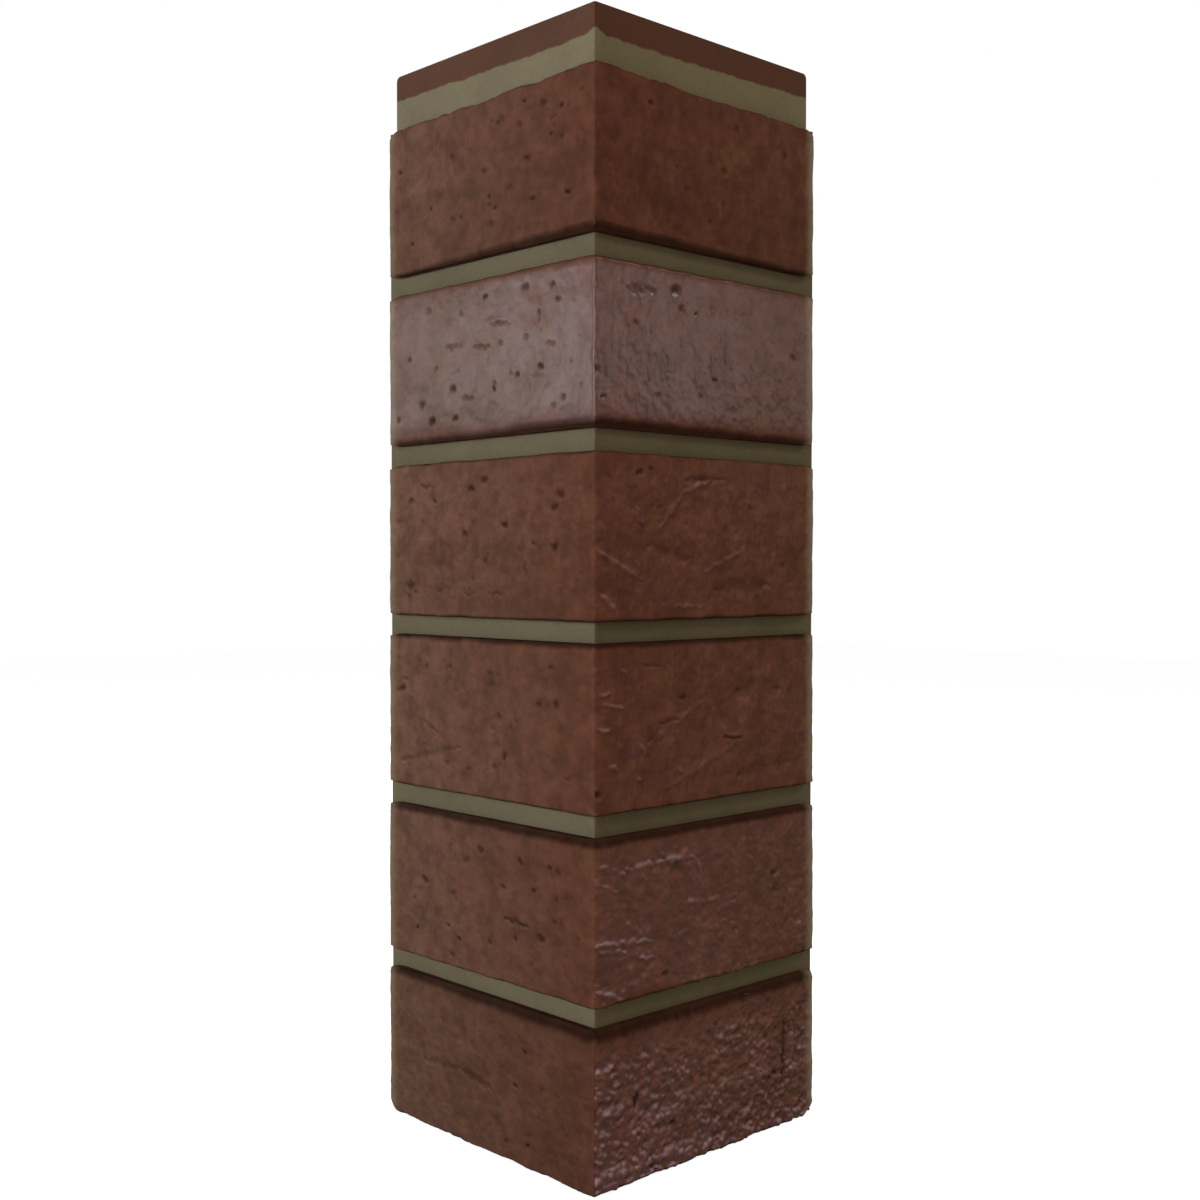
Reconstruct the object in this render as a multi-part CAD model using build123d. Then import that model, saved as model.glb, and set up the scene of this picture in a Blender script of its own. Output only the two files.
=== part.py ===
from build123d import *
from math import cos, radians, sin, tan
import os

# Outside corner panel of brick-look cladding, moulded in one piece. Lengths are in millimetres.
# The panel stands upright on its lower edge, +Z up. Its two legs meet at the outer corner line,
# which is at +X and -Y. One leg faces -Y and runs towards -X, the other faces +X and runs towards +Y.
# The origin is on the floor, at the middle of the square that the two legs span.

# Brick courses
course_count = 6
brick_height = 58.0
joint_height = 9.7
relief = 5.0
draft_angle = 23.0
foot_spread = 1.25
edge_round = 2.4
corner_round = 1.4

# Legs and wall
leg_length = 124.5
wall = 2.5
brick_end_margin = 1.1
rim_rise = 1.0
rim_length = 12.0
mortar_corner_round = 0.8

# Flange above the top course, which the lowest course of the next panel covers
flange_height = 22.4
flange_corner_round = 2.0

# Room that the flange of the panel below has behind the lowest course
tuck_clearance = 0.5

# How far an edge may lie from the place where it is looked for
edge_tolerance = 0.01

# Derived sizes
course_pitch = brick_height + joint_height
body_height = course_count * brick_height + (course_count - 1) * joint_height
total_height = body_height + flange_height
shell_depth = relief + wall
draft_drop = relief * tan(radians(draft_angle))
pocket_inset = wall * (1 - sin(radians(draft_angle))) / cos(radians(draft_angle))
flange_inset = wall + tuck_clearance
tuck_height = flange_height - joint_height + tuck_clearance
half_leg = leg_length / 2

# The plane through the outer corner line that mirrors one leg onto the other
mitre = Plane(origin=(0, 0, 0), x_dir=(-1, 1, 0), z_dir=(1, 1, 0))


def leg_box(start, end, front, back, low, high):
    """Box on the leg that faces -Y: along the leg, behind the brick face, and in height."""
    box = Box(end - start, back - front, high - low, align=Align.MIN)
    return Pos(half_leg - end, front - half_leg, low) * box


def drafted_block(end, back, low, high):
    """Block with drafted sides that stands out of a plane behind the brick face, past the corner."""
    start = -relief
    root = Plane(
        origin=(half_leg - (start + end) / 2, back - half_leg, (low + high) / 2),
        x_dir=(1, 0, 0),
        z_dir=(0, -1, 0),
    )
    return extrude(root * Rectangle(end - start, high - low), amount=relief, taper=draft_angle)


def both_legs(leg):
    """The leg that faces -Y, cut along the mitre, joined to its mirror image."""
    half = split(leg, bisect_by=mitre, keep=Keep.BOTTOM)
    return half + mirror(half, about=mitre)


def on_brick_face(edge):
    """True for an edge that lies in one of the two brick faces."""
    middle = edge.center()
    return abs(middle.X - half_leg) < edge_tolerance or abs(middle.Y + half_leg) < edge_tolerance


def on_corner_line(edge, depth):
    """True for the upright edge of the corner at a depth behind the brick faces."""
    middle = edge.center()
    offset = half_leg - depth
    return abs(middle.X - offset) < edge_tolerance and abs(middle.Y + offset) < edge_tolerance


def brick_course(course):
    """One course of brick: a block round the corner, with its face edges and ends rounded."""
    low = course * course_pitch
    top = low + brick_height + foot_spread
    end = leg_length - brick_end_margin
    if course == 0:
        block = drafted_block(end, relief, low - draft_drop, top)
        block -= leg_box(-relief, leg_length, 0, relief, low - draft_drop, low)
    else:
        block = drafted_block(end, relief, low - foot_spread, top)
    block = both_legs(block)
    rims = [edge for edge in block.edges() if on_brick_face(edge) and not on_corner_line(edge, 0)]
    block = fillet(rims, edge_round)
    arris = [edge for edge in block.edges() if on_corner_line(edge, 0)]
    return fillet(arris, corner_round)


def brick_pocket(course):
    """The hollow behind one course, which keeps the wall even."""
    low = course * course_pitch - foot_spread + pocket_inset
    top = course * course_pitch + brick_height + foot_spread - pocket_inset
    end = leg_length - brick_end_margin - pocket_inset
    return both_legs(drafted_block(end, shell_depth, low, top))


def mortar_leg():
    """The mortar plane of one leg, which rises a little into a rim at the end of the leg."""
    plate = leg_box(0, leg_length, relief, shell_depth, 0, body_height)
    rim = Polyline(
        (half_leg - leg_length + rim_length, relief - half_leg),
        (half_leg - leg_length, relief - rim_rise - half_leg),
        (half_leg - leg_length, relief - half_leg),
        close=True,
    )
    return plate + extrude(make_face(rim), amount=body_height)


def flange_leg():
    """The flange of one leg, a little shorter than the leg, with its upper end corner rounded."""
    plate = leg_box(0, leg_length - flange_inset, relief, shell_depth, body_height, total_height)
    upper = plate.edges().filter_by(Axis.Y).group_by(Axis.Z)[-1].sort_by(Axis.X)[0]
    return fillet(upper, flange_corner_round)


def tuck_space():
    """The space behind the lowest course that the flange of the panel below slides into."""
    front = relief - tuck_clearance
    return both_legs(leg_box(0, leg_length - wall, front, shell_depth + wall, -wall, tuck_height))


def corner_panel():
    """The whole moulded panel as one solid."""
    shell = both_legs(mortar_leg()) + both_legs(flange_leg())
    arris = [edge for edge in shell.edges() if on_corner_line(edge, relief)]
    shell = fillet(arris, mortar_corner_round)
    for course in range(course_count):
        shell += brick_course(course)
    for course in range(course_count):
        shell -= brick_pocket(course)
    shell -= tuck_space()
    return shell


os.makedirs("parts", exist_ok=True)
export_step(corner_panel(), "parts/corner_panel.step")
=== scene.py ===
"""Looks of a moulded outside corner panel of brick cladding: six brick courses over a mortar plane."""

import logging
import math
from dataclasses import dataclass, field
from enum import Enum
from typing import Sequence

import bpy
import numpy as np
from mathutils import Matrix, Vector


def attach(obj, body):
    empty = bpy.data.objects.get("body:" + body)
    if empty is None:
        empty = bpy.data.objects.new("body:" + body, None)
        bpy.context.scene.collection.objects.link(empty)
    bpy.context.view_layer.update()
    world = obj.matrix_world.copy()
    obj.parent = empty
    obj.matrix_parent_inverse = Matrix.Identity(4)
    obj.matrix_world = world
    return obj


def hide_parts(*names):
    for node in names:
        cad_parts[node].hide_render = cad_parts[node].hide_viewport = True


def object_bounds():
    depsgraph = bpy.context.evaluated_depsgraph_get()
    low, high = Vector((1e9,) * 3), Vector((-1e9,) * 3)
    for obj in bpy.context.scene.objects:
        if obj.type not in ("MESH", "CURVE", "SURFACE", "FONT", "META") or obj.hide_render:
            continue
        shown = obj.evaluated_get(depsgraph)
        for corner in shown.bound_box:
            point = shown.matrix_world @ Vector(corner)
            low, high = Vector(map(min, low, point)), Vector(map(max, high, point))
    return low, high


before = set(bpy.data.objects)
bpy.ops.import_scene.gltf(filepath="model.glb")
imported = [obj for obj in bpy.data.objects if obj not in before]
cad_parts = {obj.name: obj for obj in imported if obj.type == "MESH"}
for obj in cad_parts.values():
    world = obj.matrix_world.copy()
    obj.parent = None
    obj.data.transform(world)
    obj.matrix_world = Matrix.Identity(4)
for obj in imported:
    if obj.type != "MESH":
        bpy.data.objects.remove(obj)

CAD_BOX = [list(corner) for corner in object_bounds()]
CAD_NODE = "corner_panel"
MM = 0.001
SEED = 5493
# What is this near to a plane counts as lying on it.
SLACK = 0.1 * MM
# A normal that has this much of a direction looks that way.
FACING = 0.9
# A vertex that weighs less than this stays out of its group.
LEAST_WEIGHT = 0.001

log = logging.getLogger("corner_panel")

Colour = tuple[float, float, float, float]


class Leg(Enum):
    """The two legs of the panel, named by the way that their brick face looks."""

    FACING_Y = 0
    FACING_X = 1


class Domain(Enum):
    """The kinds of mesh element that a mask can pick, with Blender's select mode for each."""

    VERTEX = (True, False, False)
    EDGE = (False, True, False)
    FACE = (False, False, True)


@dataclass(frozen=True)
class PanelSizes:
    """Sizes of the panel in metres. Depths are measured back from the flat of the brick faces."""

    half_leg: float
    total_height: float
    course_count: int = 6
    brick_height: float = 58.0 * MM
    joint_height: float = 9.7 * MM
    relief: float = 5.0 * MM
    foot_spread: float = 1.25 * MM
    wall: float = 2.5 * MM
    end_margin: float = 1.1 * MM
    edge_round: float = 1.6 * MM
    end_round: float = 2.6 * MM
    corner_round: float = 1.2 * MM
    rim_rise: float = 1.0 * MM
    rim_length: float = 12.0 * MM
    flange_inset: float = 3.0 * MM
    flange_round: float = 2.0 * MM
    tuck_clearance: float = 0.5 * MM
    mortar_round: float = 0.8 * MM

    @property
    def leg_length(self) -> float:
        """Length of a leg from the outer corner line."""
        return 2 * self.half_leg

    @property
    def shell_depth(self) -> float:
        """Depth of the back of the mortar plate."""
        return self.relief + self.wall

    @property
    def pitch(self) -> float:
        """Height of one brick and one joint."""
        return self.brick_height + self.joint_height

    @property
    def body_height(self) -> float:
        """Height of the six courses without the flange."""
        return self.course_count * self.pitch - self.joint_height

    @property
    def flange_height(self) -> float:
        """Height of the flange above the top course."""
        return self.total_height - self.body_height

    @property
    def tuck_height(self) -> float:
        """Height that the flange of the panel below takes up behind the lowest course."""
        return self.flange_height - self.joint_height + self.tuck_clearance

    def course_base(self, number: int) -> float:
        """Height of the lower edge of a course.

        Args:
            number: the course, counted from 1 at the top.

        Returns:
            The height above the floor.
        """
        return (self.course_count - number) * self.pitch


@dataclass(frozen=True)
class PhotoFrame:
    """The camera that took the photograph, found from the panel's joints and ends.

    A pixel is given in the photograph's own frame, which is `side` pixels wide and high.
    """

    sizes: PanelSizes
    side: float = 1200.0
    focal_pixels: float = 1505.5
    distance: float = 527.9 * MM
    azimuth: float = 46.64
    height: float = 221.8 * MM
    pitch: float = 1.281
    aim: float = -0.189
    sensor_mm: float = 36.0

    def position(self) -> Vector:
        """Where the camera stands, as measured from the outer corner line of the mortar plane.

        Returns:
            Its place in metres.
        """
        corner = self.sizes.half_leg - self.sizes.relief
        turn = math.radians(self.azimuth)
        return Vector((
            corner + self.distance * math.sin(turn),
            -corner - self.distance * math.cos(turn),
            self.height,
        ))

    def axes(self) -> tuple[Vector, Vector, Vector]:
        """The way that the camera is turned.

        Returns:
            Its right, up and forward directions.
        """
        turn = math.radians(self.azimuth + self.aim)
        tilt = math.radians(self.pitch)
        right = Vector((math.cos(turn), math.sin(turn), 0.0))
        forward = Vector((-math.sin(turn) * math.cos(tilt), math.cos(turn) * math.cos(tilt), -math.sin(tilt)))
        return right, right.cross(forward), forward

    def on_leg(self, px: float, py: float) -> tuple[Leg, tuple[float, float]]:
        """Where a pixel's ray meets the brick faces.

        Args:
            px: pixel column.
            py: pixel row.

        Returns:
            The leg, with the distance along it from the outer corner line and the height.
        """
        right, up, forward = self.axes()
        middle = self.side / 2
        ray = forward + right * ((px - middle) / self.focal_pixels) - up * ((py - middle) / self.focal_pixels)
        start = self.position()
        half = self.sizes.half_leg
        hit = start + ray * ((-half - start.y) / ray.y)
        if hit.x <= half:
            return Leg.FACING_Y, (half - hit.x, hit.z)
        hit = start + ray * ((half - start.x) / ray.x)
        return Leg.FACING_X, (hit.y + half, hit.z)

    def add_camera(self) -> None:
        """Adds the camera and makes it the scene's own."""
        data = bpy.data.cameras.new("camera")
        data.sensor_width = self.sensor_mm
        data.lens = self.focal_pixels / self.side * self.sensor_mm
        camera = bpy.data.objects.new("camera", data)
        camera.location = self.position()
        camera.rotation_euler = (
            math.radians(90.0 - self.pitch),
            0.0,
            math.radians(self.azimuth + self.aim),
        )
        bpy.context.scene.collection.objects.link(camera)
        bpy.context.scene.camera = camera


def deselect_all() -> None:
    """Leaves every object unselected and in object mode."""
    if bpy.context.object and bpy.context.object.mode != "OBJECT":
        bpy.ops.object.mode_set(mode="OBJECT")
    bpy.ops.object.select_all(action="DESELECT")


def make_active(piece: bpy.types.Object) -> None:
    """Makes one object the only selected and the active one.

    Args:
        piece: the object.
    """
    deselect_all()
    piece.select_set(True)
    bpy.context.view_layer.objects.active = piece


def rows_of(elements: Sequence, name: str) -> np.ndarray:
    """Reads a vector of every element of a mesh.

    Args:
        elements: the mesh's vertices, faces or normals.
        name: the property to read.

    Returns:
        One row of three numbers for each element.
    """
    values = np.zeros(len(elements) * 3, np.float32)
    elements.foreach_get(name, values)
    return values.reshape(-1, 3).astype(float)


def points_of(piece: bpy.types.Object) -> np.ndarray:
    """The vertex positions of a mesh, one row each."""
    return rows_of(piece.data.vertices, "co")


def edges_of(piece: bpy.types.Object) -> np.ndarray:
    """The edges of a mesh.

    Args:
        piece: the object to read.

    Returns:
        The two vertex numbers of each edge, one row each.
    """
    ends = np.zeros(len(piece.data.edges) * 2, np.int32)
    piece.data.edges.foreach_get("vertices", ends)
    return ends.reshape(-1, 2)


def edge_lines(piece: bpy.types.Object) -> tuple[np.ndarray, np.ndarray]:
    """Where the edges of a mesh are and how they run.

    Args:
        piece: the object to read.

    Returns:
        The middle of each edge and the way from its first end to its second, one row each.
    """
    places, ends = points_of(piece), edges_of(piece)
    first, second = places[ends[:, 0]], places[ends[:, 1]]
    return (first + second) / 2, second - first


def face_centres(piece: bpy.types.Object) -> np.ndarray:
    """The centre of each face."""
    return rows_of(piece.data.polygons, "center")


def face_normals(piece: bpy.types.Object) -> np.ndarray:
    """The normal of each face."""
    return rows_of(piece.data.polygons, "normal")


def edit_picked(piece: bpy.types.Object, domain: Domain, mask: np.ndarray) -> None:
    """Enters edit mode with only the elements of a mask selected.

    Args:
        piece: the object to edit.
        domain: the kind of element that the mask is for.
        mask: one truth value for each element.
    """
    make_active(piece)
    bpy.context.tool_settings.mesh_select_mode = domain.value
    bpy.ops.object.mode_set(mode="EDIT")
    bpy.ops.mesh.select_all(action="DESELECT")
    bpy.ops.object.mode_set(mode="OBJECT")
    mesh = piece.data
    elements = {Domain.VERTEX: mesh.vertices, Domain.EDGE: mesh.edges, Domain.FACE: mesh.polygons}[domain]
    elements.foreach_set("select", np.asarray(mask, bool))
    bpy.ops.object.mode_set(mode="EDIT")


def leave_edit() -> None:
    """Goes back to object mode."""
    bpy.ops.object.mode_set(mode="OBJECT")


def shift_points(piece: bpy.types.Object, mask: np.ndarray, way: Sequence[float]) -> None:
    """Moves the vertices of a mask.

    Args:
        piece: the object to edit.
        mask: one truth value for each vertex.
        way: how far they move along each axis.
    """
    edit_picked(piece, Domain.VERTEX, mask)
    bpy.ops.transform.translate(value=way)
    leave_edit()


def apply_modifier(piece: bpy.types.Object, modifier: bpy.types.Modifier) -> None:
    """Applies one modifier of a piece."""
    make_active(piece)
    bpy.ops.object.modifier_apply(modifier=modifier.name)


def add_box(name: str, low: Sequence[float], high: Sequence[float]) -> bpy.types.Object:
    """Adds a box between two corners, with its place in its mesh.

    Args:
        name: the object's name.
        low: the lowest corner.
        high: the highest corner.

    Returns:
        The new object.
    """
    deselect_all()
    lowest, highest = Vector(low), Vector(high)
    bpy.ops.mesh.primitive_cube_add(size=1.0, location=(lowest + highest) / 2, scale=highest - lowest)
    bpy.ops.object.transform_apply(location=True, rotation=True, scale=True)
    box = bpy.context.object
    box.name = name
    box.data.name = name
    return box


def add_l_block(
    name: str, half: float, front: float, back: float, length: float, low: float, high: float
) -> bpy.types.Object:
    """Adds an L-shaped block that follows both legs: a corner post with a leg extruded from two sides.

    Args:
        name: the object's name.
        half: half the length of a leg of the panel.
        front: depth of the block's outer faces.
        back: depth of its inner faces.
        length: length of both legs from the outer corner line.
        low: height of its lower face.
        high: height of its upper face.

    Returns:
        The new object.
    """
    block = add_box(name, (half - back, front - half, low), (half - front, back - half, high))
    run = length - back
    for normal in (Vector((-1.0, 0.0, 0.0)), Vector((0.0, 1.0, 0.0))):
        facing = face_normals(block) @ np.array(normal) > FACING
        reach = face_centres(block) @ np.array(normal)
        end = facing & (reach > reach.max() - SLACK)
        if normal.y:
            end = facing & (face_centres(block)[:, 0] > half - back)
        edit_picked(block, Domain.FACE, end)
        bpy.ops.mesh.extrude_region_move(TRANSFORM_OT_translate={"value": normal * run})
        leave_edit()
    return block


def depth_at(places: np.ndarray, half: float) -> np.ndarray:
    """Depth of points behind the flat of the nearer brick face."""
    return np.minimum(places[:, 1] + half, half - places[:, 0])


def leg_at(places: np.ndarray, half: float) -> np.ndarray:
    """Truth value for each point: whether it is on the leg that faces +X."""
    return (half - places[:, 0]) < (places[:, 1] + half)


def along_at(places: np.ndarray, half: float) -> np.ndarray:
    """Distance of points from the outer corner line, along their own leg."""
    return np.where(leg_at(places, half), places[:, 1] + half, half - places[:, 0])


@dataclass(frozen=True)
class Spots:
    """Where the vertices of a piece are on the panel.

    `up` is their height, `along` the distance along their leg from the outer corner line, `depth` the depth
    behind the flat of the brick face, and `side` says whether they are on the leg that faces +X.
    """

    up: np.ndarray
    along: np.ndarray
    depth: np.ndarray
    side: np.ndarray

    @staticmethod
    def of(piece: bpy.types.Object, half: float) -> "Spots":
        """Measures the vertices of a piece as they are now."""
        places = points_of(piece)
        return Spots(places[:, 2], along_at(places, half), depth_at(places, half), leg_at(places, half))

    @property
    def signed(self) -> np.ndarray:
        """Distance along the legs, below 0 on the leg that faces -Y."""
        return np.where(self.side, self.along, -self.along)

    @property
    def zeros(self) -> np.ndarray:
        """A 0 for each vertex."""
        return np.zeros(len(self.up))

    def by_leg(self, pair: tuple[float, float]) -> np.ndarray:
        """A value for each vertex, out of one for the leg facing -Y and one for the leg facing +X."""
        return np.where(self.side, pair[1], pair[0])


def smooth_step(value: np.ndarray, low: float, high: float) -> np.ndarray:
    """A smooth rise from 0 at low to 1 at high."""
    share = np.clip((value - low) / (high - low), 0.0, 1.0)
    return share * share * (3.0 - 2.0 * share)


def waves(first: np.ndarray, second: np.ndarray, size: float, seed: int, count: int = 9) -> np.ndarray:
    """A gentle random surface of a few waves that run all ways, mostly between -1.5 and 1.5.

    Args:
        first: one coordinate of each point.
        second: the other coordinate.
        size: about how long a wave is.
        seed: a number that picks the waves.
        count: how many waves are added up.

    Returns:
        The height of the surface at each point.
    """
    rng = np.random.default_rng(SEED + seed)
    total = np.zeros(len(first))
    for turn, phase, pace in rng.uniform(0.0, 1.0, (count, 3)):
        angle = math.tau * turn
        length = size * (0.7 + 0.8 * pace)
        reach = first * math.cos(angle) + second * math.sin(angle)
        total += np.sin(math.tau * (reach / length + phase))
    return total * math.sqrt(2.0 / count)


@dataclass(frozen=True)
class Ripple:
    """Two layers of waves along both legs, with their lengths in metres and the share of the finer one."""

    size: float
    fine_size: float
    fine_share: float

    def at(self, spots: Spots, seed: int, fine_seed: int) -> np.ndarray:
        """The height of the ripple at each point.

        Args:
            spots: where the points are.
            seed: a number that picks the waves.
            fine_seed: a number that picks the finer ones.

        Returns:
            The height, mostly between -1.5 and 1.5.
        """
        run, level = spots.signed, spots.zeros
        fine = self.fine_share * waves(run, level, self.fine_size, fine_seed)
        return waves(run, level, self.size, seed) + fine


def split_edges(piece: bpy.types.Object, mask: np.ndarray, spacing: float) -> None:
    """Subdivides edges until their pieces are no longer than a spacing.

    Args:
        piece: the object to edit.
        mask: the edges to split, which have the same length and direction.
        spacing: the longest piece that may stay.
    """
    _, spans = edge_lines(piece)
    longest = np.linalg.norm(spans[mask], axis=1).max()
    parts = max(1, math.ceil(longest / spacing))
    if parts > 1:
        edit_picked(piece, Domain.EDGE, mask)
        bpy.ops.mesh.subdivide(number_cuts=min(parts - 1, 100))
        leave_edit()


def outer_vertices(piece: bpy.types.Object) -> np.ndarray:
    """Picks the vertices of the painted outer faces.

    Args:
        piece: the object to look at, whose outer faces are in the first material slot.

    Returns:
        One truth value for each vertex.
    """
    mesh = piece.data
    used = np.zeros(len(mesh.vertices), bool)
    slots = np.zeros(len(mesh.polygons), np.int32)
    mesh.polygons.foreach_get("material_index", slots)
    totals = np.zeros(len(mesh.polygons), np.int32)
    mesh.polygons.foreach_get("loop_total", totals)
    corners = np.zeros(len(mesh.loops), np.int32)
    mesh.loops.foreach_get("vertex_index", corners)
    face_of_loop = np.repeat(np.arange(len(totals)), totals)
    used[corners[slots[face_of_loop] == 0]] = True
    return used


def outer_runs(piece: bpy.types.Object, direction: Sequence[float], shortest: float) -> np.ndarray:
    """The outer edges that run along a direction and are longer than a length.

    Args:
        piece: the object to look at.
        direction: unit vector that the edges are parallel to.
        shortest: length that the edges have to pass.

    Returns:
        One truth value for each edge.
    """
    ends = edges_of(piece)
    outer = outer_vertices(piece)
    _, spans = edge_lines(piece)
    lengths = np.linalg.norm(spans, axis=1)
    aligned = np.abs(spans @ np.array(direction)) > 0.95 * lengths
    return outer[ends[:, 0]] & outer[ends[:, 1]] & aligned & (lengths > shortest)


def store(piece: bpy.types.Object, name: str, values: np.ndarray) -> None:
    """Stores one number for each vertex as an attribute that the materials read."""
    attribute = piece.data.attributes.new(name, "FLOAT", "POINT")
    attribute.data.foreach_set("value", np.asarray(values, np.float32))


def weigh(piece: bpy.types.Object, name: str, weights: np.ndarray) -> None:
    """Makes a vertex group, leaving out the vertices that weigh nothing.

    Args:
        piece: the object.
        name: the group's name.
        weights: a weight for each vertex.
    """
    group = piece.vertex_groups.new(name=name)
    for index in np.nonzero(weights > LEAST_WEIGHT)[0]:
        group.add([int(index)], float(min(weights[index], 1.0)), "REPLACE")


def displace(piece: bpy.types.Object, group: str, strength: float, way: str = "NORMAL") -> None:
    """Moves the vertices of a group by their weight.

    Args:
        piece: the object.
        group: the vertex group that says how much each vertex moves.
        strength: the whole travel of a full weight.
        way: the axis that they move along, or NORMAL.
    """
    modifier = piece.modifiers.new("relief", "DISPLACE")
    modifier.strength = strength
    modifier.direction = way
    modifier.vertex_group = group
    modifier.mid_level = 0.0
    apply_modifier(piece, modifier)


def roughen(
    piece: bpy.types.Object, group: str, strength: float, grain: float, depth: int, seed: int
) -> None:
    """Raises and sinks the vertices of a group by cloudy lumps.

    Args:
        piece: the object.
        group: the vertex group that says how much each vertex moves.
        strength: the travel from the deepest to the highest point.
        grain: size of the lumps.
        depth: how many finer layers the lumps have.
        seed: a number that gives each piece lumps of its own.
    """
    clouds = bpy.data.textures.new(f"clouds_{grain / MM:.1f}_{seed}", "CLOUDS")
    clouds.noise_scale = grain
    clouds.noise_depth = depth
    clouds.contrast = 1.2
    modifier = piece.modifiers.new("relief", "DISPLACE")
    modifier.strength = strength
    modifier.vertex_group = group
    modifier.texture = clouds
    modifier.texture_coords = "LOCAL"
    modifier.mid_level = 0.6
    apply_modifier(piece, modifier)


@dataclass(frozen=True)
class Dent:
    """A soft hollow in a brick face or, with a negative depth, a ridge on it, all in metres."""

    leg: Leg
    start: tuple[float, float]
    end: tuple[float, float]
    radius: float
    deep: float

    @property
    def is_pit(self) -> bool:
        """Whether the dent is a pit, which is half as long again as it is high, and not a long one."""
        return self.start == self.end

    @property
    def darkness(self) -> float:
        """How much painted shade the dent gets: deep, narrow ones the most, and long ones less than pits."""
        narrow = min(1.0, max(0.25, 1.6 * MM / self.radius))
        return min(1.0, abs(self.deep) / (0.5 * MM)) * narrow * (1.0 if self.is_pit else 0.7)

    def shape(self, along: np.ndarray, up: np.ndarray, facing_x: np.ndarray) -> np.ndarray:
        """How near each point is to the dent's middle line.

        Args:
            along: distance of each point along its leg.
            up: height of each point.
            facing_x: whether each point is on the leg that faces +X.

        Returns:
            A share, 1 along the middle line and 0 outside.
        """
        run = np.array(self.end) - np.array(self.start)
        length = float(run @ run)
        share = np.zeros(len(along))
        if length > 0:
            share = ((along - self.start[0]) * run[0] + (up - self.start[1]) * run[1]) / length
            share = np.clip(share, 0.0, 1.0)
        across = (along - self.start[0] - share * run[0]) / (1.5 if self.is_pit else 1.0)
        gap = np.hypot(across, up - self.start[1] - share * run[1])
        if not self.is_pit:
            gap = gap / (1.0 - 0.7 * (2.0 * share - 1.0) ** 2)
        near = 1.0 - smooth_step(gap, 0.0, 1.6 * self.radius)
        return near * (facing_x == (self.leg is Leg.FACING_X))


@dataclass(frozen=True)
class Mark:
    """A dent or a ridge as read from the photograph.

    Its two ends are pixels of the photograph, and its width and depth are in millimetres.
    """

    px: float
    py: float
    to_px: float
    to_py: float
    width: float
    deep: float

    def placed(self, photo: PhotoFrame) -> Dent:
        """Puts the mark on the panel.

        Args:
            photo: the camera that the mark was read with.

        Returns:
            The dent or ridge at its place.
        """
        leg, start = photo.on_leg(self.px, self.py)
        _, end = photo.on_leg(self.to_px, self.to_py)
        return Dent(leg, start, end, self.width * MM / 2, self.deep * MM)


def pit(px: float, py: float, width: float = 1.8, deep: float = 0.5) -> Mark:
    """A round pit at one pixel.

    Args:
        px: pixel column.
        py: pixel row.
        width: width in millimetres.
        deep: depth in millimetres.

    Returns:
        The mark.
    """
    return Mark(px, py, px, py, width, deep)


def groove(px: float, py: float, to_px: float, to_py: float, width: float = 1.0, deep: float = 0.4) -> Mark:
    """A groove between two pixels, or a ridge where the depth is negative.

    Args:
        px: pixel column of one end.
        py: pixel row of that end.
        to_px: pixel column of the other end.
        to_py: pixel row of the other end.
        width: width in millimetres.
        deep: depth in millimetres.

    Returns:
        The mark.
    """
    return Mark(px, py, to_px, to_py, width, deep)


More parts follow.
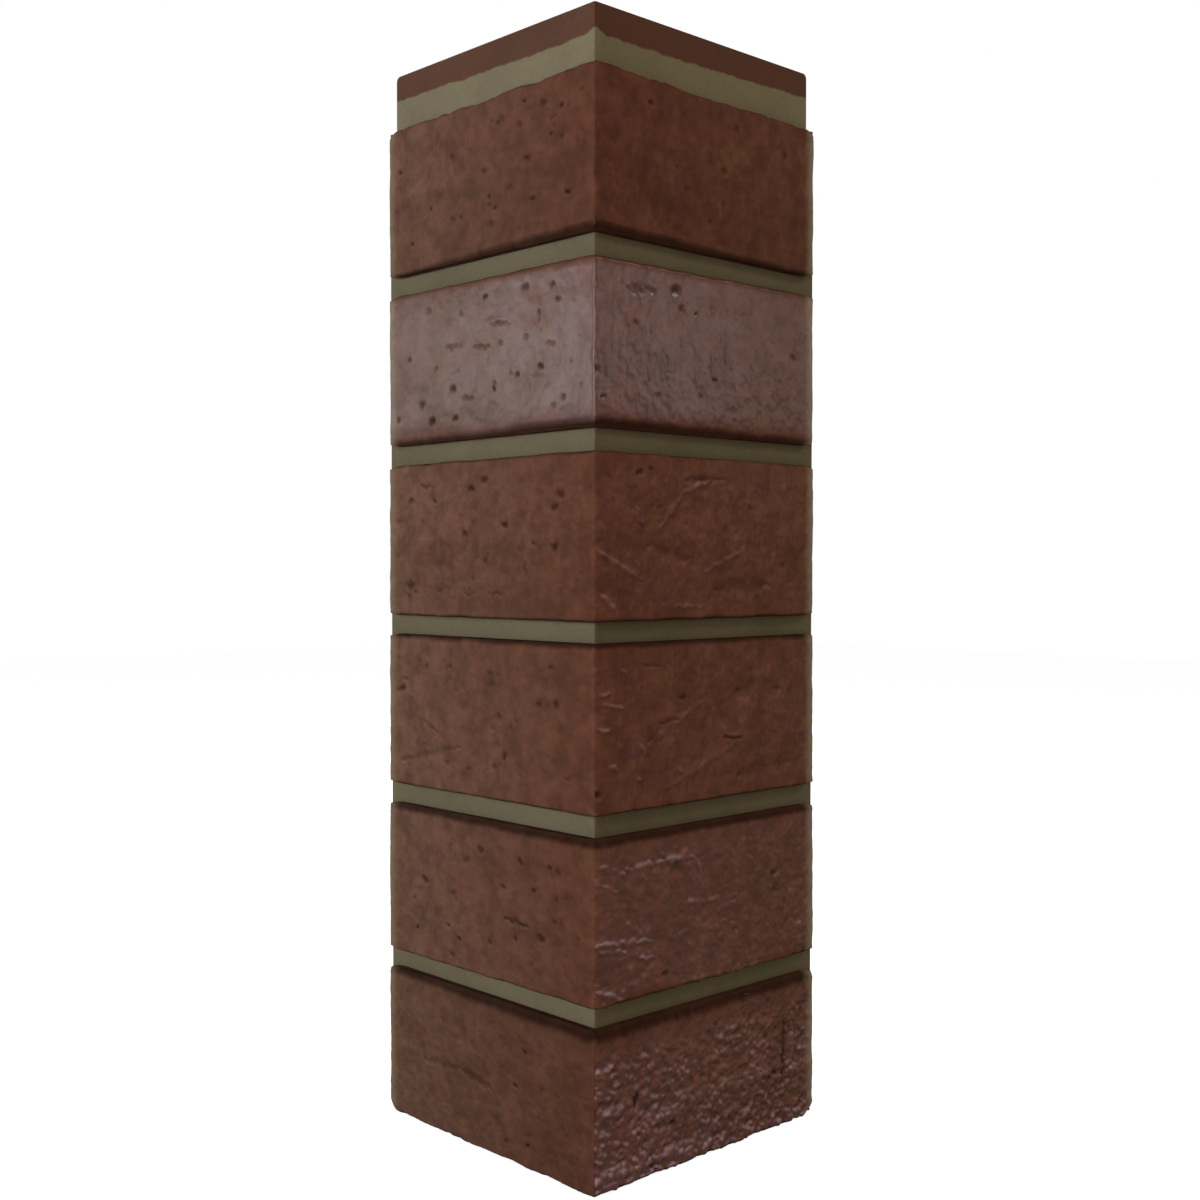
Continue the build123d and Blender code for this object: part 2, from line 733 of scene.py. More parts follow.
COURSE_MARKS: dict[int, tuple[Mark, ...]] = {
    1: (
        pit(523, 100), pit(496, 122), pit(524, 157), pit(566, 191, 2.8, 0.8), pit(531, 198), pit(487, 197),
        pit(493, 207), pit(460, 216), pit(430, 209), pit(399, 173), pit(411, 244), pit(550, 133),
        pit(560, 105), pit(652, 103), groove(612, 165, 618, 196, 2.4, -0.35),
        groove(634, 178, 640, 205, 2.2, -0.3), groove(721, 203, 721, 222, 1.6, -0.4),
        pit(526, 158, 5.0, 0.35), pit(500, 120, 5.0, 0.35),
    ),
    2: (
        pit(524, 287, 2.8, 0.8), pit(552, 284), pit(484, 297), pit(557, 298),
        groove(538, 308, 538, 320, 1.6, 0.6), pit(408, 361), pit(540, 366), pit(516, 374),
        pit(452, 389, 2.8, 0.8), pit(493, 388), pit(421, 405, 2.6, 0.8), pit(431, 422, 2.6, 0.8),
        pit(454, 418, 2.6, 0.8), pit(397, 421), pit(562, 397),
        groove(491, 323, 509, 323), groove(442, 346, 463, 346), groove(472, 346, 491, 346),
        groove(545, 343, 555, 343), groove(458, 398, 472, 398), pit(596, 370, 2.8, 0.8),
        groove(628, 288, 656, 291, 4.6, 0.4), pit(676, 290, 4.0, 0.5), pit(697, 313), pit(716, 380),
        pit(605, 396), groove(713, 296, 713, 316, 1.4, -0.35), groove(753, 296, 753, 314, 1.4, -0.35),
        groove(653, 322, 653, 333, 1.4, -0.3), groove(630, 317, 630, 326, 1.4, -0.3),
        groove(713, 348, 713, 376, 1.6, -0.4), groove(727, 345, 727, 363, 1.6, -0.4),
        groove(650, 365, 650, 380, 1.4, -0.3),
    ),
    3: (
        pit(410, 501, 3.4), pit(434, 501), groove(419, 487, 430, 487, 2.6), pit(482, 480, 3.6, 0.7),
        pit(469, 489, 3.0), pit(559, 495, 3.6, 0.7), pit(553, 507, 3.0), pit(503, 525, 2.6),
        pit(464, 534, 3.2), pit(553, 547, 3.4, 0.6), pit(532, 543), groove(524, 563, 524, 577, 2.4, 0.4),
        pit(439, 564, 6.0, 0.45), pit(409, 586, 4.0, 0.7), groove(461, 594, 474, 594),
        groove(486, 594, 502, 594), pit(641, 472, 3.0, 0.8), pit(652, 468),
        groove(685, 480, 724, 479, 3.6, 0.45), groove(638, 506, 640, 524, 2.0, -0.45),
        groove(662, 528, 684, 493, 2.0, -0.35), groove(684, 493, 715, 480, 2.2, -0.35),
        groove(783, 473, 788, 497, 1.8, -0.35), groove(596, 550, 644, 581, 2.4, -0.45),
        groove(638, 559, 640, 581, 1.8, -0.35), groove(706, 572, 746, 550, 2.4, -0.35),
        groove(744, 546, 746, 563, 2.0, -0.35), groove(774, 555, 772, 572, 1.8, -0.35),
        groove(600, 594, 620, 616, 2.6, -0.45), groove(675, 607, 706, 607, 2.0, -0.35),
        groove(716, 590, 770, 585, 7.0, 0.45), groove(650, 545, 690, 560, 6.0, 0.40),
    ),
    4: (
        pit(448, 667, 2.8, 0.35), pit(549, 668, 2.8, 0.35), pit(401, 688, 3.0, 0.6), pit(488, 684, 4.6, 0.4),
        pit(537, 705, 3.0, 0.4), pit(554, 705, 3.2, 0.5), pit(497, 717, 3.4, 0.4), pit(503, 756, 3.0, 0.4),
        pit(494, 766, 3.4, 0.4), groove(421, 720, 437, 733, 2.6, 0.3), groove(400, 760, 460, 747, 4.0, 0.35),
        groove(622, 669, 627, 677, 1.8, -0.4), groove(644, 666, 662, 666, 1.8, 0.35),
        groove(669, 664, 671, 675, 1.8, -0.3), pit(684, 697, 3.0, 0.5),
        groove(662, 724, 680, 719, 2.4, 0.45), groove(726, 724, 726, 735, 1.8, -0.4),
        groove(726, 735, 741, 735, 1.8, -0.4), groove(724, 738, 744, 738, 2.0, 0.4), pit(598, 796, 2.6, 0.7),
        groove(740, 692, 780, 690, 13.0, 0.7), groove(650, 742, 676, 724, 6.0, 0.35),
        groove(740, 775, 790, 762, 9.0, 0.5), groove(650, 745, 705, 700, 3.0, -0.3),
        groove(665, 790, 735, 745, 3.0, -0.25), groove(600, 697, 612, 694, 1.8, -0.55),
        groove(604, 706, 625, 708, 1.8, -0.5), groove(600, 730, 611, 732, 1.8, -0.6),
        groove(642, 744, 647, 757, 1.8, -0.5), groove(611, 768, 620, 771, 2.0, -0.6),
        groove(638, 779, 644, 781, 1.8, -0.5), groove(680, 770, 684, 772, 1.8, -0.5),
    ),
    5: (
        pit(479, 850, 3.0), pit(519, 861, 2.8), pit(548, 869), pit(424, 880, 3.2, 0.7), pit(532, 891),
        pit(502, 888), pit(416, 927), pit(447, 925), pit(458, 939), pit(488, 943), pit(514, 940),
        pit(540, 939, 3.2, 0.7),
        pit(451, 954), groove(502, 918, 527, 928, 2.6, 0.6), groove(600, 868, 627, 875, 2.0, -0.4),
        groove(627, 871, 662, 862, 2.4, -0.45), groove(662, 862, 695, 857, 2.4, -0.45),
        groove(695, 857, 704, 875, 2.4, -0.45), pit(679, 868, 6.0, 0.5), pit(775, 873, 2.6, 0.6),
        groove(605, 886, 618, 893, 2.0, -0.4), groove(675, 904, 706, 901, 2.4, -0.35),
        groove(706, 901, 739, 895, 2.2, -0.35), pit(667, 974, 2.6, 0.6),
        groove(596, 947, 653, 941, 2.2, -0.55), groove(600, 954, 627, 952, 2.0, -0.5),
        groove(640, 960, 655, 958, 2.0, -0.45), groove(596, 994, 625, 1001, 2.4, -0.5),
        groove(600, 1010, 616, 1006, 2.4, -0.5), groove(680, 983, 795, 956, 2.4, -0.4),
    ),
    6: (
        groove(424, 1060, 460, 1070, 4.4, 0.40), groove(460, 1070, 490, 1090, 4.4, 0.45), pit(523, 1053),
        pit(514, 1086), pit(526, 1146), groove(638, 1094, 638, 1108, 2.4, 0.9), pit(674, 1123, 2.8, 0.8),
        pit(655, 1170, 3.0, 0.9), pit(762, 1073), pit(770, 1078), pit(776, 1074),
        groove(786, 1020, 784, 1080, 2.4, 0.6), groove(794, 1015, 792, 1081, 2.4, -0.5),
        groove(627, 1134, 700, 1095, 8.0, -0.5), groove(700, 1095, 768, 1073, 7.0, -0.4),
        groove(596, 1187, 655, 1160, 7.0, -0.6), groove(655, 1160, 712, 1140, 6.0, -0.5),
    ),
}


@dataclass(frozen=True)
class EdgeLook:
    """How the upper or the lower edge of a course runs, all in millimetres.

    Three values are at the corner, at the end of the leg facing -Y and at the end of the one facing +X.
    `shelter` is a plain share: how much of the painted shade of a ledge the edge has.
    """

    worn: tuple[float, float, float] = (0.0, 0.0, 0.0)
    inset: tuple[float, float, float] = (0.0, 0.0, 0.0)
    waver: float = 0.35
    end_rounding: float = 0.6
    shelter: float = 1.0

    @staticmethod
    def spread(values: tuple[float, float, float], spots: Spots, leg_length: float) -> np.ndarray:
        """The value at each point, in metres.

        Args:
            values: the three values.
            spots: where the points are.
            leg_length: length of a leg.

        Returns:
            The value at each point.
        """
        corner, *ends = values
        share = np.clip(spots.along / leg_length, 0.0, 1.0)
        return MM * (corner + (spots.by_leg(ends) - corner) * share)


@dataclass(frozen=True)
class CourseLook:
    """How one course differs from the others. A pair is for the leg facing -Y and the leg facing +X.

    Only `matt` is for the lower and the upper edge: how many millimetres the sheen takes to build up from
    there. `painted_glint` is how much painted glint, a pale highlight painted into the colour, lies on the
    lumps, on the side that `glint_way` points to.
    `trim` is how many millimetres shorter the ends are.
    """

    upper: EdgeLook
    lower: EdgeLook
    tone: tuple[float, float] = (1.0, 1.0)
    gloss: tuple[float, float] = (0.02, 0.04)
    painted_glint: tuple[float, float] = (0.03, 0.20)
    glint_way: tuple[float, float, float] = (0.0, 0.0, 1.0)
    matt: tuple[float, float] = (5.0, 8.0)
    swell: tuple[float, float] = (0.7, 0.7)
    peel: tuple[float, float] = (0.10, 0.20)
    creases: tuple[float, float] = (0.20, 0.30)
    pits: tuple[int, int] = (30, 12)
    trim: float = 0.3


COURSE_LOOKS: dict[int, CourseLook] = {
    1: CourseLook(
        EdgeLook(inset=(1.0, 1.6, 2.0), waver=0.8, end_rounding=2.6, shelter=0.4),
        EdgeLook(worn=(6.0, 3.0, 3.4), inset=(1.2, 0.4, 0.4), waver=0.15),
        tone=(1.02, 0.92), gloss=(0.02, 0.0), painted_glint=(0.05, 0.10), peel=(0.10, 0.08), creases=(0.20, 0.08),
        trim=1.5,
    ),
    2: CourseLook(
        EdgeLook(waver=0.3, end_rounding=1.0, shelter=0.4),
        EdgeLook(worn=(6.4, 4.2, 4.6), inset=(0.8, 0.4, 0.6), waver=0.15),
        tone=(0.95, 0.95), gloss=(0.45, 0.38), painted_glint=(0.15, 0.34), glint_way=(0.0, -0.8, 0.6),
        matt=(11.0, 4.0), swell=(0.5, 0.5), peel=(0.05, 0.15), creases=(0.08, 0.22), pits=(24, 12),
        trim=1.5,
    ),
    3: CourseLook(
        EdgeLook(waver=0.4, end_rounding=1.0, shelter=0.4),
        EdgeLook(worn=(3.2, 2.4, 2.8), inset=(0.2, 0.3, 0.3), waver=0.15),
        tone=(1.03, 1.0), creases=(0.20, 0.35), trim=1.0,
    ),
    4: CourseLook(
        EdgeLook(worn=(4.4, 3.6, 3.8), waver=0.25),
        EdgeLook(waver=0.15),
        tone=(1.09, 1.03), creases=(0.20, 0.35), trim=0.8,
    ),
    5: CourseLook(
        EdgeLook(worn=(7.0, 5.0, 5.6), inset=(0.9, 0.7, 0.9), waver=0.25),
        EdgeLook(waver=0.2),
        tone=(1.04, 0.98), gloss=(0.02, 0.14), painted_glint=(0.08, 0.60), peel=(0.12, 0.45), creases=(0.25, 0.50),
    ),
    6: CourseLook(
        EdgeLook(worn=(9.0, 4.4, 8.5), inset=(0.6, 0.0, 0.8), waver=0.25),
        EdgeLook(waver=0.45, end_rounding=5.0),
        tone=(0.92, 0.98), gloss=(0.03, 0.16), painted_glint=(0.10, 0.66), matt=(1.0, 12.0), swell=(0.9, 1.0),
        peel=(0.16, 1.00), creases=(0.30, 0.50),
    ),
}


@dataclass(frozen=True)
class Roughness:
    """Cloudy lumps of one size: the group of points that they move, their travel and how fine they go."""

    group: str
    travel: float
    grain: float
    depth: int


FACE_ROUGHNESS: tuple[Roughness, ...] = (
    Roughness("swell", 0.9 * MM, 15 * MM, 2),
    Roughness("swell", 0.4 * MM, 5 * MM, 2),
    Roughness("peel", 1.7 * MM, 3.6 * MM, 1),
    Roughness("peel", 0.6 * MM, 1.6 * MM, 0),
)


@dataclass(frozen=True)
class PaintedGlints:
    """How painted glints, pale highlights on lumps, spread over a course, in shares, and how far they reach,
    in metres.
    """

    everywhere: float = 0.24
    at_corner: float = 0.9
    corner_reach: float = 16 * MM
    at_foot: float = 0.9
    foot_reach: float = 8 * MM
    drift: float = 0.30
    drift_size: float = 26 * MM
    on_ridges: float = 0.9
    most: float = 1.3
    first_lean: float = 0.08
    full_lean: float = 0.60


@dataclass
class BrickCourse:
    """One course of brick round the corner: a hollow cap that stands on the mortar plate.

    A pair of depths or of places along the leg is where an effect starts and where it is complete. The pairs
    for the scattered pits are the least value and what a random share adds to it: shares of the leg and of
    the course for their places, and millimetres for their radius and depth.
    """

    sizes: PanelSizes
    number: int
    grid: float = 0.52 * MM
    set_back: float = 0.45 * MM
    seat: float = 0.3 * MM
    round_segments: int = 6
    smooth_angle: float = 60.0
    wear_depth: float = 2.6 * MM
    full_wear_width: float = 6.0 * MM
    worn_ripple: Ripple = Ripple(24 * MM, 7 * MM, 0.4)
    worn_ripple_share: float = 0.04
    arris_wear: float = 0.5 * MM
    arris_dent_size: float = 9 * MM
    arris_reach: float = 1.9 * MM
    face_depths: tuple[float, float] = (1.0 * MM, 2.4 * MM)
    crease_size: float = 3.2 * MM
    deepest_crease: float = 0.3 * MM
    deepest_mark: float = 1.2 * MM
    highest_mark: float = 0.6 * MM
    mark_sway: float = 0.27 * MM
    mark_sway_size: float = 4.5 * MM
    scatter_along: tuple[float, float] = (0.05, 0.9)
    scatter_up: tuple[float, float] = (0.12, 0.76)
    scatter_radius: tuple[float, float] = (0.5, 0.9)
    scatter_depth: tuple[float, float] = (0.10, 0.22)
    farthest_edge: float = 4.0 * MM
    edge_ripple: Ripple = Ripple(19 * MM, 6 * MM, 0.45)
    edge_reach: float = 7.0 * MM
    waver_depths: tuple[float, float] = (3.0 * MM, 4.8 * MM)
    end_reach: float = 5.0 * MM
    sheen_loss: float = 0.43
    sheen_run: tuple[float, float] = (30 * MM, 115 * MM)
    sheen_depths: tuple[float, float] = (0.55 * MM, 1.1 * MM)
    light_depths: tuple[float, float] = (1.4 * MM, 2.0 * MM)
    painted_glint: PaintedGlints = PaintedGlints()
    piece: bpy.types.Object = field(init=False)

    @property
    def look(self) -> CourseLook:
        """What sets this course apart."""
        return COURSE_LOOKS[self.number]

    @property
    def lowest(self) -> bool:
        """Whether this is the course that the panel stands on."""
        return self.number == self.sizes.course_count

    @property
    def low(self) -> float:
        """Height of the lower edge of the course."""
        return 0.0 if self.lowest else self.sizes.course_base(self.number) - self.sizes.foot_spread

    @property
    def high(self) -> float:
        """Height of the upper edge of the course."""
        return self.sizes.course_base(self.number) + self.sizes.brick_height + self.sizes.foot_spread

    @property
    def run(self) -> float:
        """Length of the course along each leg, from the outer corner line."""
        return self.sizes.leg_length - self.sizes.end_margin - self.look.trim * MM

    @property
    def inner_line(self) -> float:
        """Distance of the block's inner faces from the middle of the panel."""
        return self.sizes.half_leg - self.sizes.relief - self.seat + 0.01 * MM

    def build(self, photo: PhotoFrame) -> bpy.types.Object:
        """Builds the course.

        Args:
            photo: the camera that the marks were read with.

        Returns:
            The finished object, without its paint.
        """
        sizes = self.sizes
        self.piece = add_l_block(
            f"brick_course_{self.number}",
            sizes.half_leg,
            self.set_back,
            sizes.relief + self.seat,
            self.run,
            self.low,
            self.high,
        )
        self.open_back()
        self.round_edges()
        if self.lowest:
            self.clear_tuck_space()
        self.give_wall()
        self.refine()
        self.measure(self.wear_edges())
        self.shape_face(photo)
        self.keep_inside()
        self.catch_light()
        make_active(self.piece)
        bpy.ops.object.shade_smooth_by_angle(angle=math.radians(self.smooth_angle))
        return self.piece

    def open_back(self) -> None:
        """Deletes the inner faces of the block, which leaves the front, the ledges and the ends."""
        normals, centres = face_normals(self.piece), face_centres(self.piece)
        inner = (normals[:, 1] > FACING) & (centres[:, 0] < self.inner_line)
        inner |= (normals[:, 0] < -FACING) & (centres[:, 1] > -self.inner_line)
        edit_picked(self.piece, Domain.FACE, inner)
        bpy.ops.mesh.delete(type="FACE")
        leave_edit()

    def round_edges(self) -> None:
        """Rounds the level edges of the face, the arris of the corner and, most, the ends of the legs."""
        sizes = self.sizes
        mesh = self.piece.data
        spots = Spots.of(self.piece, sizes.half_leg)
        ends = edges_of(self.piece)
        _, spans = edge_lines(self.piece)
        front = spots.depth < self.set_back + SLACK
        on_front = front[ends[:, 0]] & front[ends[:, 1]]
        upright = np.abs(spans[:, 2]) > 1.0 * MM
        corner = spots.along[ends[:, 0]] < 1.0 * MM
        weights = np.where(on_front, sizes.edge_round / sizes.end_round, 0.0)
        weights[on_front & upright] = 1.0
        weights[on_front & upright & corner] = sizes.corner_round / sizes.end_round
        sharpness = mesh.attributes.new("bevel_weight_edge", "FLOAT", "EDGE")
        sharpness.data.foreach_set("value", weights.astype(np.float32))
        bevel = self.piece.modifiers.new("round", "BEVEL")
        bevel.width = sizes.end_round
        bevel.segments = self.round_segments
        bevel.limit_method = "WEIGHT"
        bevel.use_clamp_overlap = False
        apply_modifier(self.piece, bevel)

    def clear_tuck_space(self) -> None:
        """Brings the lower ledge forward, clear of the flange of the panel below."""
        places = points_of(self.piece)
        root = depth_at(places, self.sizes.half_leg) > self.sizes.relief
        lower = root & (places[:, 2] < self.low + SLACK)
        shift = self.seat + self.sizes.tuck_clearance
        nearly_inner = self.sizes.half_leg - self.sizes.relief - self.seat - SLACK
        shift_points(self.piece, lower & (places[:, 1] < -nearly_inner), (0.0, -shift, 0.0))
        shift_points(self.piece, lower & (places[:, 0] > nearly_inner), (shift, 0.0, 0.0))

    def give_wall(self) -> None:
        """Gives the open cap its wall, with the inside in the second material slot."""
        for _ in range(2):
            self.piece.data.materials.append(None)
        wall = self.piece.modifiers.new("wall", "SOLIDIFY")
        wall.thickness = self.sizes.wall - self.set_back
        wall.offset = -1.0
        wall.use_even_offset = True
        wall.material_offset = 1
        wall.material_offset_rim = 1
        apply_modifier(self.piece, wall)

    def refine(self) -> None:
        """Splits the outer faces into a fine grid."""
        for direction in ((1.0, 0.0, 0.0), (0.0, 1.0, 0.0)):
            split_edges(self.piece, outer_runs(self.piece, direction, 30 * MM), 6 * MM)
            split_edges(self.piece, outer_runs(self.piece, direction, 4 * MM), self.grid)
        split_edges(self.piece, outer_runs(self.piece, (0.0, 0.0, 1.0), 30 * MM), self.grid)
        places = points_of(self.piece)
        ends = edges_of(self.piece)
        outer = outer_vertices(self.piece)
        seat = self.sizes.relief - self.sizes.tuck_clearance - SLACK
        root = depth_at(places, self.sizes.half_leg) > seat
        across = outer[ends[:, 0]] & outer[ends[:, 1]] & (root[ends[:, 0]] != root[ends[:, 1]])
        split_edges(self.piece, across, 0.6 * MM)

    def wear_edges(self) -> np.ndarray:
        """Slopes back the edges that the course's look names, and dents the arris of the corner.

        Returns:
            How deep the arris is worn beside each point.
        """
        half = self.sizes.half_leg
        places = points_of(self.piece)
        spots = Spots.of(self.piece, half)
        dents = np.clip(waves(spots.up, spots.zeros, self.arris_dent_size, 20 + self.number), 0.0, 1.5)
        near_arris = np.exp(-((spots.along / self.arris_reach) ** 2))
        arris = (self.set_back + self.arris_wear * dents) * near_arris
        worn = arris
        edges = ((self.look.upper, self.high - spots.up), (self.look.lower, spots.up - self.low))
        for turn, (edge, inward) in enumerate(edges):
            ripple = self.worn_ripple.at(spots, 10 * self.number + turn, 10 * self.number + turn + 5)
            width = EdgeLook.spread(edge.worn, spots, self.sizes.leg_length)
            width = np.maximum(width * (1.0 + self.worn_ripple_share * ripple), 0.01 * MM)
            near = np.clip(1.0 - inward / width, 0.0, 1.0)
            depth = self.wear_depth * np.minimum(width / self.full_wear_width, 1.0) * near ** 1.7
            worn = np.maximum(worn, depth)
        outer = outer_vertices(self.piece)
        for name, gap, travel in (
            ("Y", places[:, 1] + half, self.wear_depth),
            ("X", half - places[:, 0], -self.wear_depth),
        ):
            weigh(self.piece, f"worn_{name}", outer * np.clip((worn - gap) / self.wear_depth, 0.0, 1.0))
            displace(self.piece, f"worn_{name}", travel, name)
        return arris

    def measure(self, arris: np.ndarray) -> None:
        """Stores what the paint needs to know about each point before the face is shaped.

        Args:
            arris: how deep the arris is worn beside each point, which the paint takes no notice of.
        """
        look, spots = self.look, Spots.of(self.piece, self.sizes.half_leg)
        depth = spots.depth - arris
        shelter = np.where(spots.up > (self.low + self.high) / 2, look.upper.shelter, look.lower.shelter)
        gloss = spots.by_leg(look.gloss)
        gloss *= 1.0 - self.sheen_loss * smooth_step(spots.along, *self.sheen_run)
        gloss *= 1.0 - smooth_step(depth, *self.sheen_depths)
        gloss *= smooth_step(spots.up - self.low, 0.0, look.matt[0] * MM)
        gloss *= smooth_step(self.high - spots.up, 0.0, look.matt[1] * MM)
        for name, values in (
            # the ledge depth drives the painted shade on ledges and worn edges
            ("ledge", depth * shelter / MM),
            ("from_end", (self.run - spots.along) / MM),
            ("from_corner", spots.along / MM),
            ("facing_x", spots.side),
            ("tone", spots.by_leg(look.tone)),
            ("gloss", gloss),
        ):
            store(self.piece, name, values)

    def shape_face(self, photo: PhotoFrame) -> None:
        """Makes the fired-clay surface: swells, fine peel and creases, then the pits, grooves and ridges.

        Args:
            photo: the camera that the marks were read with.
        """
        look, spots = self.look, Spots.of(self.piece, self.sizes.half_leg)
        free = outer_vertices(self.piece) * (1.0 - smooth_step(spots.depth, *self.face_depths))
        sunk, raised, shade = self.marks(photo, spots)
        inner = smooth_step(self.run - spots.along, 1.0 * MM, self.end_reach)
        groups = {
            "swell": free * spots.by_leg(look.swell),
            "peel": free * inner * spots.by_leg(look.peel),
            "creased": free * self.creased(spots),
            "sunk": free * np.clip(sunk / self.deepest_mark, 0.0, 1.0),
            "raised": free * np.clip(raised / self.highest_mark, 0.0, 1.0),
            "upper_edge": self.edge_shift(look.upper, self.high - spots.up, spots, 1),
            "lower_edge": self.edge_shift(look.lower, spots.up - self.low, spots, 2),
        }
        for name, weights in groups.items():
            weigh(self.piece, name, weights)
        store(self.piece, "pit_shade", shade)
        store(self.piece, "raised_height", raised / MM)
        for lumps in FACE_ROUGHNESS:
            roughen(self.piece, lumps.group, lumps.travel, lumps.grain, lumps.depth, self.number)
        displace(self.piece, "creased", -self.deepest_crease)
        displace(self.piece, "sunk", -self.deepest_mark)
        displace(self.piece, "raised", self.highest_mark)
        displace(self.piece, "upper_edge", -self.farthest_edge, "Z")
        displace(self.piece, "lower_edge", self.farthest_edge, "Z")

    def creased(self, spots: Spots) -> np.ndarray:
        """How deeply each point lies in a short crease, level on one leg and upright on the other.

        Args:
            spots: where the points are.

        Returns:
            A share from 0 to 1.
        """
        level = waves(spots.along * 0.35, spots.up, self.crease_size, 50 + self.number)
        upright = waves(spots.along, spots.up * 0.45, self.crease_size, 60 + self.number)
        share = smooth_step(np.where(spots.side, upright, level), -0.2, 2.2)
        return share * spots.by_leg(self.look.creases)

    def edge_shift(self, edge: EdgeLook, inward: np.ndarray, spots: Spots, turn: int) -> np.ndarray:
        """How far each point moves in from a level edge, as a share of the farthest way.

        Args:
            edge: the look of the edge.
            inward: distance of each point from the edge.
            spots: where the points are.
            turn: a number that picks the waver.

        Returns:
            A share from 0 to 1.
        """
        pick = 3 * self.number + turn
        ripple = self.edge_ripple.at(spots, 70 + pick, 90 + pick)
        waver = np.clip(0.5 + 0.35 * ripple, 0.0, 1.2) * edge.waver * MM
        waver *= 1.0 - smooth_step(spots.depth, *self.waver_depths)
        near_end = 1.0 - smooth_step(self.run - spots.along, -0.5 * MM, self.end_reach)
        rounding = edge.end_rounding * MM * near_end
        inset = EdgeLook.spread(edge.inset, spots, self.sizes.leg_length)
        near = 1.0 - smooth_step(inward, 0.0, self.edge_reach)
        return near * (inset + waver + rounding) / self.farthest_edge

    def scattered(self) -> list[Dent]:
        """Makes small pits at random places, which the photograph shows too many of to name.

        Returns:
            The pits of both legs.
        """
        rng = np.random.default_rng(SEED + 100 * self.number)
        dents = []
        for leg, count in zip(Leg, self.look.pits):
            for across, rise, size in rng.uniform(0.0, 1.0, (count, 3)):
                along, up, radius, deep = (
                    least + more * share
                    for (least, more), share in (
                        (self.scatter_along, across),
                        (self.scatter_up, rise),
                        (self.scatter_radius, size ** 2),
                        (self.scatter_depth, size),
                    )
                )
                place = (along * self.sizes.leg_length, self.low + up * (self.high - self.low))
                dents.append(Dent(leg, place, place, radius * MM, deep * MM))
        return dents

    def marks(self, photo: PhotoFrame, spots: Spots) -> tuple[np.ndarray, np.ndarray, np.ndarray]:
        """How far the marks sink or raise each point. Their outlines are made uneven.

        Args:
            photo: the camera that the marks were read with.
            spots: where the points are.

        Returns:
            The depth and the height at each point in metres, and how much painted shade a pit gives it, from
            0 to 1.
        """
        sway_along = waves(spots.along, spots.up, self.mark_sway_size, 30 + self.number)
        sway_up = waves(spots.along, spots.up, self.mark_sway_size, 40 + self.number)
        along, up = spots.along + self.mark_sway * sway_along, spots.up + self.mark_sway * sway_up
        sunk, raised, shade = spots.zeros, spots.zeros, spots.zeros
        dents = [mark.placed(photo) for mark in COURSE_MARKS[self.number]]
        for dent in dents + self.scattered():
            near = dent.shape(along, up, spots.side)
            if dent.deep > 0:
                sunk = np.maximum(sunk, near ** 1.4 * dent.deep)
                shade = np.maximum(shade, near * dent.darkness)
            else:
                raised = np.maximum(raised, near * -dent.deep)
        return sunk, raised, shade

    def keep_inside(self) -> None:
        """Brings back any point that stands proud of the flat of the brick faces or the ends."""
        half = self.sizes.half_leg
        places = points_of(self.piece)
        places[:, 0] = np.clip(places[:, 0], -half, half)
        places[:, 1] = np.clip(places[:, 1], -half, half)
        places[:, 2] = np.maximum(places[:, 2], 0.0)
        self.piece.data.vertices.foreach_set("co", places.astype(np.float32).ravel())
        self.piece.data.update()

    def catch_light(self) -> None:
        """Stores how far each point of the face leans up or down, for painted light and shade, and where
        painted glints lie on lumps.
        """
        look, painted_glint = self.look, self.painted_glint
        spots = Spots.of(self.piece, self.sizes.half_leg)
        normals = rows_of(self.piece.data.vertex_normals, "vector")
        far = look.matt[1] * MM
        face = 1.0 - smooth_step(spots.depth, *self.light_depths)
        face *= smooth_step(self.high - spots.up, 0.6 * far, 1.2 * far)
        # painted light and shade: faces that lean up are painted lighter, faces that lean down darker
        painted_top_light = normals[:, 2] * face * smooth_step(spots.up - self.low, 2.0 * MM, 5.0 * MM)
        store(self.piece, "painted_top_light", np.clip(0.5 + painted_top_light, 0.0, 1.0))
        raised = np.zeros(len(normals), np.float32)
        self.piece.data.attributes["raised_height"].data.foreach_get("value", raised)
        drift = np.clip(waves(spots.along, spots.up, painted_glint.drift_size, 120 + self.number), -1.0, 1.0)
        spread = painted_glint.everywhere + painted_glint.drift * drift + painted_glint.on_ridges * raised
        spread += painted_glint.at_corner * np.exp(-spots.along / painted_glint.corner_reach)
        if self.lowest:
            spread += painted_glint.at_foot * np.exp(-spots.up / painted_glint.foot_reach)
        spread = np.clip(spread, 0.0, painted_glint.most) * spots.by_leg(look.painted_glint)
        # painted glints go on the faces of lumps that lean towards `glint_way`
        catch = normals @ np.array(look.glint_way) * face
        catch *= smooth_step(spots.up - self.low, 0.5 * MM, 2.0 * MM)
        spread *= smooth_step(catch, painted_glint.first_lean, painted_glint.full_lean)
        store(self.piece, "painted_glint", np.clip(spread, 0.0, 1.0))


